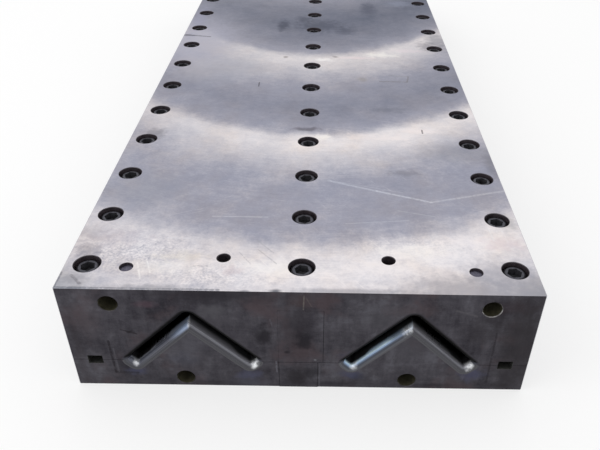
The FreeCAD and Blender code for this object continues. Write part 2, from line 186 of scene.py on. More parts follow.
# Lofting an outline along the die, with its ends broken and its mouths flared


def mouthShift(depth):
    # how far the cavity wall stands back at this depth from the entry face
    radius = cavity["entryRadius"]
    if depth >= radius:
        return 0
    return radius - math.sqrt(radius * radius - (radius - depth) ** 2)


def edgeShift(kind, depth, atEntry):
    if kind in ("lip", "ridge"):
        return mouthShift(depth) if atEntry else max(0, edges["exitRecess"] - depth)
    if kind in ("top", "side", "edge", "base"):
        return max(0, edges["outer"] - depth)
    return max(0, edges["faintSeam" if kind == "slot" else "seam"] - depth)


def shiftOutline(points, depth, atEntry):
    # every edge of the outline moves into the metal by its own distance
    moved = []
    for index, (x, z, kind) in enumerate(points):
        before, after = points[index - 1], points[(index + 1) % len(points)]
        first = Vector((x - before[0], z - before[1])).normalized()
        second = Vector((after[0] - x, after[1] - z)).normalized()
        firstIn, secondIn = Vector((-first.y, first.x)), Vector((-second.y, second.x))
        firstShift = edgeShift(before[2], depth, atEntry)
        secondShift = edgeShift(kind, depth, atEntry)
        turn = first.x * second.y - first.y * second.x
        if abs(turn) < 1e-4:
            shift = firstIn * max(firstShift, secondShift)
        else:
            along = (secondShift - firstShift * firstIn.dot(secondIn)) / turn
            shift = firstIn * firstShift - first * along
        moved.append((x + shift.x, z + shift.y))
    return moved


def stations():
    # distances from the entry face and from the exit face where the section is drawn
    radius, steps = cavity["entryRadius"], cavity["entrySteps"]
    flare = [radius * (1 - math.sin(math.radians(90 * step / steps))) for step in range(steps + 1)]
    broken = [0, edges["faintSeam"], edges["seam"], edges["outer"]]
    entry = sorted(set(broken + [round(depth, 6) for depth in flare]))
    exitEnd = [edges["outer"], edges["exitRecess"], edges["seam"], edges["faintSeam"], 0]
    return [(depth, True) for depth in entry] + [(depth, False) for depth in exitEnd]


def loftBlock(name, outline, looks):
    # looks names a material for each kind of edge and for the two end faces
    build = bmesh.new()
    names = sorted(set(looks.values()))
    rings = []
    for depth, atEntry in stations():
        y = die["entry"] + depth if atEntry else die["exit"] - depth
        rings.append([build.verts.new((x, y, z)) for x, z in shiftOutline(outline, depth, atEntry)])
    for near, far in zip(rings, rings[1:]):
        for index, (x, z, kind) in enumerate(outline):
            after = (index + 1) % len(outline)
            face = build.faces.new((near[index], near[after], far[after], far[index]))
            face.material_index = names.index(looks[kind])
    build.faces.new(list(reversed(rings[0]))).material_index = names.index(looks["entryFace"])
    build.faces.new(rings[-1]).material_index = names.index(looks["exitFace"])
    bmesh.ops.recalc_face_normals(build, faces=build.faces)
    return meshPiece(name, build, names)


# Turned shapes, for holes, screws and plugs


def addTurned(build, origin, axis, profile, steps, looks=(0, 0)):
    # profile is a list of (distance along the axis, radius), closed by its first and last ring
    # looks gives the place in the material list of the first band and of the others
    turn = Vector((0, 0, 1)).rotation_difference(Vector(axis)).to_matrix()
    rings = []
    for along, radius in profile:
        if radius == 0:
            rings.append([build.verts.new(Vector(origin) + turn @ Vector((0, 0, along)))])
            continue
        ring = []
        for step in range(steps):
            angle = 2 * math.pi * step / steps
            spot = Vector((radius * math.cos(angle), radius * math.sin(angle), along))
            ring.append(build.verts.new(Vector(origin) + turn @ spot))
        rings.append(ring)
    for band, (low, high) in enumerate(zip(rings, rings[1:])):
        for step in range(steps):
            after = (step + 1) % steps
            if len(low) == 1:
                face = build.faces.new((low[0], high[after], high[step]))
            elif len(high) == 1:
                face = build.faces.new((low[step], low[after], high[0]))
            else:
                face = build.faces.new((low[step], low[after], high[after], high[step]))
            face.material_index = looks[0] if band == 0 else looks[1]
    if len(rings[0]) > 1:
        build.faces.new(list(reversed(rings[0])))
    if len(rings[-1]) > 1:
        build.faces.new(rings[-1])
    bmesh.ops.recalc_face_normals(build, faces=build.faces)


def meshPiece(name, build, materials):
    # the built mesh as an object of the scene
    mesh = bpy.data.meshes.new(name)
    build.to_mesh(mesh)
    build.free()
    for material in materials:
        mesh.materials.append(finish(material))
    piece = bpy.data.objects.new(name, mesh)
    bpy.context.scene.collection.objects.link(piece)
    return piece


def settle(piece):
    # keep the result of the piece's modifiers as its mesh
    bpy.context.view_layer.update()
    finished = bpy.data.meshes.new_from_object(piece.evaluated_get(bpy.context.evaluated_depsgraph_get()))
    piece.modifiers.clear()
    piece.data = finished


def drill(piece, cutter):
    cut = piece.modifiers.new("drilled", "BOOLEAN")
    cut.operation = "DIFFERENCE"
    cut.solver = "EXACT"
    cut.material_mode = "TRANSFER"
    cut.object = cutter
    settle(piece)
    bpy.data.objects.remove(cutter)


def smoothCurves(piece, angle):
    # curved stretches shade smooth, flat faces keep their own normals
    piece.data.polygons.foreach_set("use_smooth", [True] * len(piece.data.polygons))
    piece.data.set_sharp_from_angle(angle=math.radians(angle))
    even = piece.modifiers.new("even", "WEIGHTED_NORMAL")
    even.mode = "FACE_AREA"
    even.weight = 100
    even.keep_sharp = True
    settle(piece)


# Finishes

finishes = {}


def finish(name):
    if name not in finishes:
        even = name in evenLooks
        finishes[name] = makeMottled(name, **evenLooks[name]) if even else makeFinish[name](name)
    return finishes[name]


def tone(red, green, blue):
    # a colour as it looks on screen, turned into the linear values that shaders take
    return tuple(((channel / 255 + 0.055) / 1.055) ** 2.4 for channel in (red, green, blue)) + (1,)


def join(tree, value, socket):
    # a socket is linked and a plain number or colour is set
    if isinstance(value, bpy.types.NodeSocket):
        tree.links.new(value, socket)
    else:
        socket.default_value = value


def calc(tree, operation, first, second=0.0, third=0.0, clamp=False):
    node = tree.nodes.new("ShaderNodeMath")
    node.operation = operation
    node.use_clamp = clamp
    for socket, value in zip(node.inputs, (first, second, third)):
        join(tree, value, socket)
    return node.outputs[0]


def vectorCalc(tree, operation, first, second=(0, 0, 0)):
    node = tree.nodes.new("ShaderNodeVectorMath")
    node.operation = operation
    join(tree, first, node.inputs[0])
    join(tree, second, node.inputs[1])
    return node.outputs["Value" if operation in ("LENGTH", "DOT_PRODUCT") else "Vector"]


def packVector(tree, x=0.0, y=0.0, z=0.0):
    node = tree.nodes.new("ShaderNodeCombineXYZ")
    for socket, value in zip(node.inputs, (x, y, z)):
        join(tree, value, socket)
    return node.outputs[0]


def splitVector(tree, vector):
    node = tree.nodes.new("ShaderNodeSeparateXYZ")
    tree.links.new(vector, node.inputs[0])
    return node.outputs


def fade(tree, value, start, end, low=0.0, high=1.0):
    # a soft step from low at start to high at end
    node = tree.nodes.new("ShaderNodeMapRange")
    node.interpolation_type = "SMOOTHSTEP"
    settings = {"Value": value, "From Min": start, "From Max": end, "To Min": low, "To Max": high}
    for label, setting in settings.items():
        join(tree, setting, node.inputs[label])
    return node.outputs["Result"]


def noise(tree, position, scale, detail=3.0, roughness=0.55):
    node = tree.nodes.new("ShaderNodeTexNoise")
    settings = {"Vector": position, "Scale": scale, "Detail": detail, "Roughness": roughness}
    for label, setting in settings.items():
        join(tree, setting, node.inputs[label])
    return node.outputs[0]


def ramp(tree, value, stops):
    node = tree.nodes.new("ShaderNodeValToRGB")
    join(tree, value, node.inputs[0])
    band = node.color_ramp
    band.elements[0].position, band.elements[0].color = stops[0]
    band.elements[1].position, band.elements[1].color = stops[-1]
    for place, colour in stops[1:-1]:
        band.elements.new(place).color = colour
    return node.outputs["Color"]


def blend(tree, amount, below, above, mode="MIX"):
    node = tree.nodes.new("ShaderNodeMix")
    node.data_type = "RGBA"
    node.blend_type = mode
    join(tree, amount, node.inputs[0])
    join(tree, below, node.inputs[6])
    join(tree, above, node.inputs[7])
    return node.outputs[2]


def newGroup(name, inputs, output):
    group = bpy.data.node_groups.new(name, "ShaderNodeTree")
    for label, kind in inputs.items():
        group.interface.new_socket(label, in_out="INPUT", socket_type=kind)
    group.interface.new_socket(output, in_out="OUTPUT", socket_type="NodeSocketFloat")
    return group, group.nodes.new("NodeGroupInput").outputs, group.nodes.new("NodeGroupOutput").inputs


def useGroup(tree, group, settings):
    node = tree.nodes.new("ShaderNodeGroup")
    node.node_tree = group
    for label, value in settings.items():
        join(tree, value, node.inputs[label])
    return node.outputs[0]


def makeSpotGroup():
    # a soft patch with a ragged rim
    inputs = {"Position": "NodeSocketVector", "Centre": "NodeSocketVector", "Size": "NodeSocketVector"}
    inputs["Ragged"] = "NodeSocketFloat"
    group, given, result = newGroup("softSpot", inputs, "Mask")
    offset = vectorCalc(group, "SUBTRACT", given["Position"], given["Centre"])
    distance = vectorCalc(group, "LENGTH", vectorCalc(group, "DIVIDE", offset, given["Size"]))
    rough = calc(group, "SUBTRACT", noise(group, given["Position"], 140, 4), 0.5)
    distance = calc(group, "MULTIPLY_ADD", rough, given["Ragged"], distance)
    group.links.new(fade(group, distance, 1.05, 0.15), result["Mask"])
    return group


def makeStrokeGroup():
    # a thin scratch or mark between two points
    inputs = {"Position": "NodeSocketVector", "Start": "NodeSocketVector", "End": "NodeSocketVector"}
    inputs["Width"] = "NodeSocketFloat"
    group, given, result = newGroup("scratch", inputs, "Mask")
    fromStart = vectorCalc(group, "SUBTRACT", given["Position"], given["Start"])
    whole = vectorCalc(group, "SUBTRACT", given["End"], given["Start"])
    along = calc(
        group,
        "DIVIDE",
        vectorCalc(group, "DOT_PRODUCT", fromStart, whole),
        vectorCalc(group, "DOT_PRODUCT", whole, whole),
        clamp=True,
    )
    reached = vectorCalc(group, "MULTIPLY", whole, packVector(group, along, along, along))
    distance = vectorCalc(group, "LENGTH", vectorCalc(group, "SUBTRACT", fromStart, reached))
    wander = calc(group, "SUBTRACT", noise(group, given["Position"], 260, 3), 0.5)
    distance = calc(group, "ABSOLUTE", calc(group, "MULTIPLY_ADD", wander, given["Width"], distance))
    solid = calc(group, "MULTIPLY", given["Width"], 0.35)
    line = fade(group, distance, given["Width"], solid)
    broken = fade(group, noise(group, given["Position"], 420, 2), 0.3, 0.55, 0.35, 1.0)
    group.links.new(calc(group, "MULTIPLY", line, broken), result["Mask"])
    return group


def makeGrainGroup():
    # the fine lines left by a grinding wheel, drawn out by the stretch of each direction
    inputs = {"Position": "NodeSocketVector", "Stretch": "NodeSocketVector"}
    group, given, result = newGroup("wheelGrain", inputs, "Grain")
    lines = vectorCalc(group, "MULTIPLY", given["Position"], given["Stretch"])
    fine = noise(group, lines, 1.0, 4, 0.65)
    specks = noise(group, given["Position"], 900, 2)
    both = calc(group, "MULTIPLY_ADD", calc(group, "SUBTRACT", specks, 0.5), 0.5, fine)
    group.links.new(both, result["Grain"])
    return group


hairlineStretch = {"along": 30.0, "across": 760.0}  # how often a line changes, for each metre


def makeHairlineGroup():
    # scattered fine lines that all run at one angle across the top
    inputs = {"Position": "NodeSocketVector", "Turn": "NodeSocketFloat"}
    group, given, result = newGroup("hairlines", inputs, "Mask")
    cosine, sine = calc(group, "COSINE", given["Turn"]), calc(group, "SINE", given["Turn"])
    along = vectorCalc(group, "DOT_PRODUCT", given["Position"], packVector(group, cosine, sine, 0.0))
    sideways = packVector(group, calc(group, "MULTIPLY", sine, -1.0), cosine, 0.0)
    across = vectorCalc(group, "DOT_PRODUCT", given["Position"], sideways)
    drawnAlong = calc(group, "MULTIPLY", along, hairlineStretch["along"])
    drawnAcross = calc(group, "MULTIPLY", across, hairlineStretch["across"])
    lines = noise(group, packVector(group, drawnAlong, drawnAcross, given["Turn"]), 1.0, 1)
    shifted = vectorCalc(group, "ADD", given["Position"], packVector(group, given["Turn"], 0.0, 0.0))
    patches = fade(group, noise(group, shifted, 13, 2), 0.46, 0.62)
    group.links.new(calc(group, "MULTIPLY", fade(group, lines, 0.7, 0.8), patches), result["Mask"])
    return group


softSpot = makeSpotGroup()
scratch = makeStrokeGroup()
wheelGrain = makeGrainGroup()
hairlines = makeHairlineGroup()


def startFinish(name, metallic=1.0):
    material = bpy.data.materials.new(name)
    material.use_nodes = True
    tree = material.node_tree
    shader = tree.nodes["Principled BSDF"]
    shader.inputs["Metallic"].default_value = metallic
    position = tree.nodes.new("ShaderNodeTexCoord").outputs["Object"]
    return material, tree, shader, position


def addBump(tree, shader, height, strength, distance):
    bump = tree.nodes.new("ShaderNodeBump")
    bump.inputs["Strength"].default_value = strength
    bump.inputs["Distance"].default_value = distance
    tree.links.new(height, bump.inputs["Height"])
    tree.links.new(bump.outputs["Normal"], shader.inputs["Normal"])


def spotMask(tree, position, at, halves, ragged, plane):
    # where a soft patch lies on a face, with its middle and half sizes in millimetres
    (across, up), (wide, high) = at, halves
    centre = (across * mm, 0, up * mm) if plane == "XZ" else (across * mm, die["entry"] + up * mm, 0)
    size = (wide * mm, 1e3, high * mm) if plane == "XZ" else (wide * mm, high * mm, 1e3)
    settings = {"Position": position, "Centre": centre, "Size": size, "Ragged": ragged}
    return useGroup(tree, softSpot, settings)


def addSpots(tree, position, colour, spots, plane):
    # each spot: place across and up the face, half sizes, strength, tone and how ragged it is
    for at, halves, strength, shade, ragged in spots:
        mask = spotMask(tree, position, at, halves, ragged, plane)
        colour = blend(tree, calc(tree, "MULTIPLY", mask, strength), colour, tone(*shade))
    return colour


def addStrokes(tree, position, colour, strokes, plane):
    # each stroke: its two ends, width, strength and tone
    for start, end, width, strength, shade in strokes:
        ends = []
        for across, up in (start, end):
            if plane == "XZ":
                ends.append((across * mm, die["entry"], up * mm))
            else:
                ends.append((across * mm, die["entry"] + up * mm, die["top"]))
        settings = {"Position": position, "Start": ends[0], "End": ends[1], "Width": width * mm}
        amount = calc(tree, "MULTIPLY", useGroup(tree, scratch, settings), strength)
        colour = blend(tree, amount, colour, tone(*shade))
    return colour


# Top face: painted reflections in swept arcs, over the marks of the rotary grinder

topLook = {
    "dark": (107, 112, 129),
    "middle": (164, 164, 178),
    "bright": (240, 234, 235),
    "warm": (1.0, 0.972, 0.94, 1),
    "cool": (0.955, 0.975, 1.0, 1),
    "scratchAngles": (0.12, 0.42, -0.3, 2.2, -0.9),
    "edgeTint": (0.62, 0.62, 0.62, 1),
    "straight": 1.45,
    "bend": 4.5,
    "wander": 0.024,
    # how much each kind of mark changes the shine
    "lines": 0.14,
    "clouds": 0.34,
    "grain": 0.08,
    "hairlines": 0.13,
    "speckle": 0.16,
    "scuffSpeckle": 0.75,
    "scuffMottle": 0.45,
    "scuffRagged": 0.8,
    # how far the painted sheen of the arcs fades on the left
    "leftSheenFade": 0.42,
    "roughness": (0.42, 0.3),
    "bump": 0.12,
    # how bright the painted arc sheen is, by distance from the entry in metres
    "paintedArcSheen": [
        (0.0, 0.86), (0.02, 0.96), (0.045, 0.88), (0.060, 0.58), (0.078, 0.48), (0.13, 0.46),
        (0.16, 0.56), (0.19, 0.76), (0.215, 0.97), (0.23, 0.92), (0.243, 0.56), (0.26, 0.41),
        (0.30, 0.30), (0.34, 0.43), (0.38, 0.62), (0.42, 0.86), (0.443, 0.94), (0.46, 0.54),
        (0.485, 0.33), (0.54, 0.14), (0.58, 0.07), (0.63, 0.19), (0.68, 0.42), (0.72, 0.3),
        (0.9, 0.4),
    ],
    "spots": [
        # broad changes of tone
        ((178, -8), (78, 50), 0.85, (140, 140, 148), 0.4),
        ((-178, 2), (40, 30), 0.6, (166, 166, 170), 0.7),
        ((-155, 490), (80, 130), 0.75, (189, 188, 203), 0.6),
        ((-110, 400), (80, 50), 0.5, (190, 189, 198), 0.6),
        ((-140, 130), (50, 42), 0.5, (154, 155, 167), 0.6),
        ((150, 205), (60, 30), 0.5, (150, 149, 158), 0.6),
        # painted highlights: bright cores of the painted arc sheen
        ((14, 232), (13, 9), 0.85, (252, 248, 246), 1.8),
        ((66, 234), (46, 11), 0.5, (250, 240, 238), 1.8),
        ((112, 249), (24, 8), 0.6, (250, 240, 240), 1.8),
        ((14, 438), (16, 7), 0.9, (255, 252, 252), 1.8),
        ((55, 446), (30, 6), 0.55, (246, 230, 234), 1.8),
        ((88, 457), (26, 11), 0.85, (254, 250, 246), 1.8),
        ((122, 474), (26, 8), 0.5, (244, 230, 234), 1.8),
        ((84, 48), (42, 14), 0.5, (252, 247, 244), 2.0),
        ((134, 62), (30, 11), 0.55, (248, 240, 240), 2.0),
        ((-18, 26), (44, 13), 0.55, (248, 244, 242), 2.2),
        ((-106, 26), (40, 11), 0.35, (246, 243, 240), 2.0),
        # rubbed and scuffed near the entry corner
        ((-146, 60), (34, 16), 0.4, (188, 180, 190), 2.2),
        ((-168, 66), (18, 12), 0.4, (172, 168, 176), 2.0),
        ((-50, 23), (12, 8), 0.4, (204, 186, 190), 2.4),
        ((-92, 38), (26, 9), 0.35, (222, 214, 202), 2.0),
        ((-164, 10), (14, 10), 0.5, (150, 148, 156), 1.8),
        ((158, 60), (24, 12), 0.4, (206, 190, 198), 1.8),
        ((118, 4), (64, 22), 0.75, (166, 164, 172), 1.0),
        ((146, 22), (32, 26), 0.6, (164, 162, 171), 1.2),
        ((-106, 2), (40, 5), 0.5, (138, 138, 146), 1.2),
        ((40, 1), (70, 4.5), 0.6, (150, 149, 158), 1.0),
        ((-162, 42), (12, 16), 0.5, (136, 132, 142), 1.4),
        ((166, 90), (14, 16), 0.5, (164, 163, 164), 1.4),
        ((-153, 233), (16, 18), 0.5, (108, 105, 114), 1.4),
        ((150, 492), (18, 22), 0.5, (132, 128, 138), 1.4),
        # duller along the right edge, and brighter at the far corners
        ((172, 181), (9, 36), 0.5, (124, 123, 132), 1.0),
        ((166, 512), (22, 48), 0.5, (110, 113, 128), 1.2),
        ((-165, 580), (16, 90), 0.6, (168, 168, 190), 1.2),
        ((128, 675), (30, 20), 0.5, (156, 162, 182), 1.4),
        # hand marks and stains
        ((-43, 563), (12, 30), 0.85, (84, 88, 104), 1.4),
        ((8, 566), (44, 34), 0.7, (90, 94, 110), 1.9),
        ((-14, 592), (16, 18), 0.7, (88, 92, 108), 1.4),
        ((44, 545), (20, 20), 0.6, (88, 92, 108), 1.4),
        ((80, 645), (17, 44), 0.75, (94, 98, 116), 1.4),
        ((-2, 249), (20, 6), 0.8, (112, 109, 118), 1.6),
        ((84, 297), (26, 10), 0.5, (116, 119, 132), 1.4),
        ((90, 165), (22, 7), 0.5, (128, 128, 138), 1.4),
        ((-34, 445), (4.5, 4.5), 0.65, (116, 104, 106), 1.4),
        ((29, 448), (5.5, 3.5), 0.65, (116, 106, 110), 1.4),
        ((60, 378), (8, 9), 0.35, (146, 140, 130), 1.2),
        ((-168, 517), (20, 4), 0.7, (98, 100, 112), 1.2),
        # nicks along the front edge
        ((-18, 0), (6, 3.4), 0.85, (92, 95, 106), 0.4),
        ((-40, 0), (5, 1.6), 0.6, (120, 121, 130), 1.2),
        ((-160, 0), (16, 3), 0.6, (112, 113, 122), 1.2),
    ],
    # where the face is scuffed: middle across and along, half sizes and strength
    "scuffs": [
        ((-130, 42), (62, 34), 0.85),
        ((-66, 16), (62, 20), 0.7),
        ((90, 54), (70, 18), 0.4),
    ],
    "strokes": [
        ((20, 150), (62, 134), 1.9, 0.5, (206, 208, 218)),
        ((62, 134), (107.5, 117.5), 1.7, 0.62, (208, 210, 220)),
        ((107.5, 117.5), (174, 137.5), 1.7, 0.5, (206, 206, 214)),
        ((30, 148), (84, 132), 0.8, 0.35, (196, 198, 208)),
        ((-75, 91.5), (-30, 91.5), 0.9, 0.55, (205, 206, 214)),
        ((34, 84), (86, 90), 0.9, 0.4, (200, 201, 210)),
        ((78, 104), (108, 96), 0.8, 0.4, (198, 199, 208)),
        ((150, 64), (149, 82), 0.9, 0.5, (236, 234, 238)),
        ((161, 62), (159, 80), 0.8, 0.4, (236, 232, 236)),
        ((-48, 44), (-38, 30), 0.7, 0.4, (168, 166, 172)),
        ((-34, 48), (-19, 31), 0.8, 0.4, (160, 158, 164)),
        ((-80, 27), (-70, 27), 1.0, 0.45, (150, 148, 158)),
        ((-166, 14), (-157, 5), 1.6, 0.5, (112, 108, 114)),
        ((-122, 30), (-116, 12), 1.0, 0.5, (250, 248, 248)),
        ((-116, 34), (-110, 18), 0.8, 0.45, (250, 248, 248)),
        ((-106, 61), (-88, 61), 0.8, 0.4, (236, 236, 242)),
        ((-36, 60), (-22, 44), 0.8, 0.4, (164, 163, 170)),
        ((-172, 519), (-139, 513), 2.2, 0.7, (100, 100, 110)),
        ((-60, 353), (-60, 364), 1.1, 0.85, (88, 84, 90)),
        ((115, 244), (115, 251), 1.1, 0.85, (92, 84, 90)),
        ((80, 373), (112, 373), 1.3, 0.55, (118, 113, 102)),
        ((112, 373), (115, 389), 1.2, 0.5, (118, 113, 102)),
        ((115, 389), (92, 391), 1.0, 0.4, (124, 118, 108)),
        ((-174, 0.7), (-58, 0.7), 1.3, 0.6, (110, 112, 122)),
        ((-174.4, 0), (-174, 17), 1.6, 0.6, (110, 112, 122)),
    ],
}


def makeGroundTop(name):
    material, tree, shader, position = startFinish(name)
    x, y = splitVector(tree, position)[:2]
    fromEntry = calc(tree, "SUBTRACT", y, die["entry"])
    square = calc(tree, "MULTIPLY", x, x)
    bow = calc(tree, "MULTIPLY_ADD", square, -topLook["straight"], fromEntry)
    bow = calc(tree, "DIVIDE", bow, calc(tree, "MULTIPLY_ADD", square, topLook["bend"], 1.0))
    wobble = calc(tree, "SUBTRACT", noise(tree, position, 30, 5), 0.5)
    bent = calc(tree, "MULTIPLY_ADD", wobble, topLook["wander"], bow)
    paintedArcSheen = ramp(tree, bent, [(place, (level, level, level, 1)) for place, level in topLook["paintedArcSheen"]])
    # the painted arc sheen fades to an even grey towards the left
    leftward = fade(tree, x, 0.02, -0.17, 0.0, topLook["leftSheenFade"])
    shine = blend(tree, leftward, paintedArcSheen, (0.6, 0.6, 0.6, 1))
    # fine arcs of the wheel, clouds at three sizes and a speckle that is strongest near the entry
    swept = packVector(tree, calc(tree, "MULTIPLY", x, 9), calc(tree, "MULTIPLY", bow, 620), 0.0)
    lines = calc(tree, "SUBTRACT", noise(tree, swept, 1.0, 5, 0.7), 0.5)
    clouds = calc(tree, "SUBTRACT", noise(tree, position, 34, 6, 0.62), 0.5)
    mottle = calc(tree, "SUBTRACT", noise(tree, position, 150, 5, 0.65), 0.5)
    speckle = calc(tree, "SUBTRACT", noise(tree, position, 520, 3, 0.6), 0.5)
    nearEntry = fade(tree, bow, 0.085, 0.02, 0.22, 0.42)
    grain = useGroup(tree, wheelGrain, {"Position": position, "Stretch": (30, 420, 1)})
    grain = calc(tree, "SUBTRACT", grain, 0.5)
    shine = calc(tree, "MULTIPLY_ADD", lines, topLook["lines"], shine)
    shine = calc(tree, "MULTIPLY_ADD", clouds, topLook["clouds"], shine)
    shine = calc(tree, "MULTIPLY_ADD", mottle, nearEntry, shine)
    scuffed = 0.0
    for at, halves, strength in topLook["scuffs"]:
        mask = spotMask(tree, position, at, halves, topLook["scuffRagged"], "XY")
        patch = calc(tree, "MULTIPLY", mask, strength)
        scuffed = calc(tree, "MAXIMUM", scuffed, patch)
    speckleShown = calc(tree, "MULTIPLY_ADD", scuffed, topLook["scuffSpeckle"], topLook["speckle"])
    shine = calc(tree, "MULTIPLY_ADD", speckle, speckleShown, shine)
    mottleShown = calc(tree, "MULTIPLY", scuffed, topLook["scuffMottle"])
    shine = calc(tree, "MULTIPLY_ADD", mottle, mottleShown, shine)
    shine = calc(tree, "MULTIPLY_ADD", grain, topLook["grain"], shine)
    for turn in topLook["scratchAngles"]:
        hair = useGroup(tree, hairlines, {"Position": position, "Turn": turn})
        shine = calc(tree, "MULTIPLY_ADD", hair, topLook["hairlines"], shine)
    shine = calc(tree, "MAXIMUM", calc(tree, "MINIMUM", shine, 1.0), 0.0)
    # the painted arc sheen together with the real grinding marks, turned into tones
    stops = [(0, tone(*topLook["dark"])), (0.5, tone(*topLook["middle"])), (1, tone(*topLook["bright"]))]
    colour = ramp(tree, shine, stops)
    colour = addSpots(tree, position, colour, topLook["spots"], "XY")
    colour = addStrokes(tree, position, colour, topLook["strokes"], "XY")
    hue = noise(tree, vectorCalc(tree, "ADD", position, (1.3, 0.4, 0)), 24, 5, 0.6)
    tint = ramp(tree, hue, [(0.36, topLook["cool"]), (0.5, (1, 1, 1, 1)), (0.64, topLook["warm"])])
    tinting = fade(tree, fromEntry, 0.6, 0.1, 0.35, 0.9)
    colour = blend(tree, tinting, colour, blend(tree, 1.0, colour, tint, "MULTIPLY"))
    tree.links.new(colour, shader.inputs["Base Color"])
    tree.links.new(fade(tree, shine, 0.0, 1.0, *topLook["roughness"]), shader.inputs["Roughness"])
    shader.inputs["Specular Tint"].default_value = topLook["edgeTint"]
    addBump(tree, shader, calc(tree, "MULTIPLY_ADD", mottle, 0.4, lines), topLook["bump"], 0.0002)
    return material


# Side and base faces: plainly ground along the die

sideLook = {
    "tones": [(0, (92, 92, 98)), (0.5, (128, 128, 136)), (1, (166, 164, 170))],
    "stretch": (60, 7, 520),
    "grain": 0.35,
    "rust": (112, 96, 84),
    "rustiness": 0.35,
    "roughness": 0.36,
}


def makeGroundSide(name):
    material, tree, shader, position = startFinish(name)
    grain = useGroup(tree, wheelGrain, {"Position": position, "Stretch": sideLook["stretch"]})
    clouds = noise(tree, position, 16, 5, 0.6)
    level = calc(tree, "MULTIPLY_ADD", calc(tree, "SUBTRACT", grain, 0.5), sideLook["grain"], clouds)
    colour = ramp(tree, level, [(place, tone(*shade)) for place, shade in sideLook["tones"]])
    rust = fade(tree, noise(tree, position, 26, 6, 0.7), 0.62, 0.8, 0.0, sideLook["rustiness"])
    colour = blend(tree, rust, colour, tone(*sideLook["rust"]))
    tree.links.new(colour, shader.inputs["Base Color"])
    shader.inputs["Roughness"].default_value = sideLook["roughness"]
    addBump(tree, shader, grain, 0.1, 0.0002)
    return material


# End faces: dull, mottled and stained; on the entry face the dark tones are partly painted shade

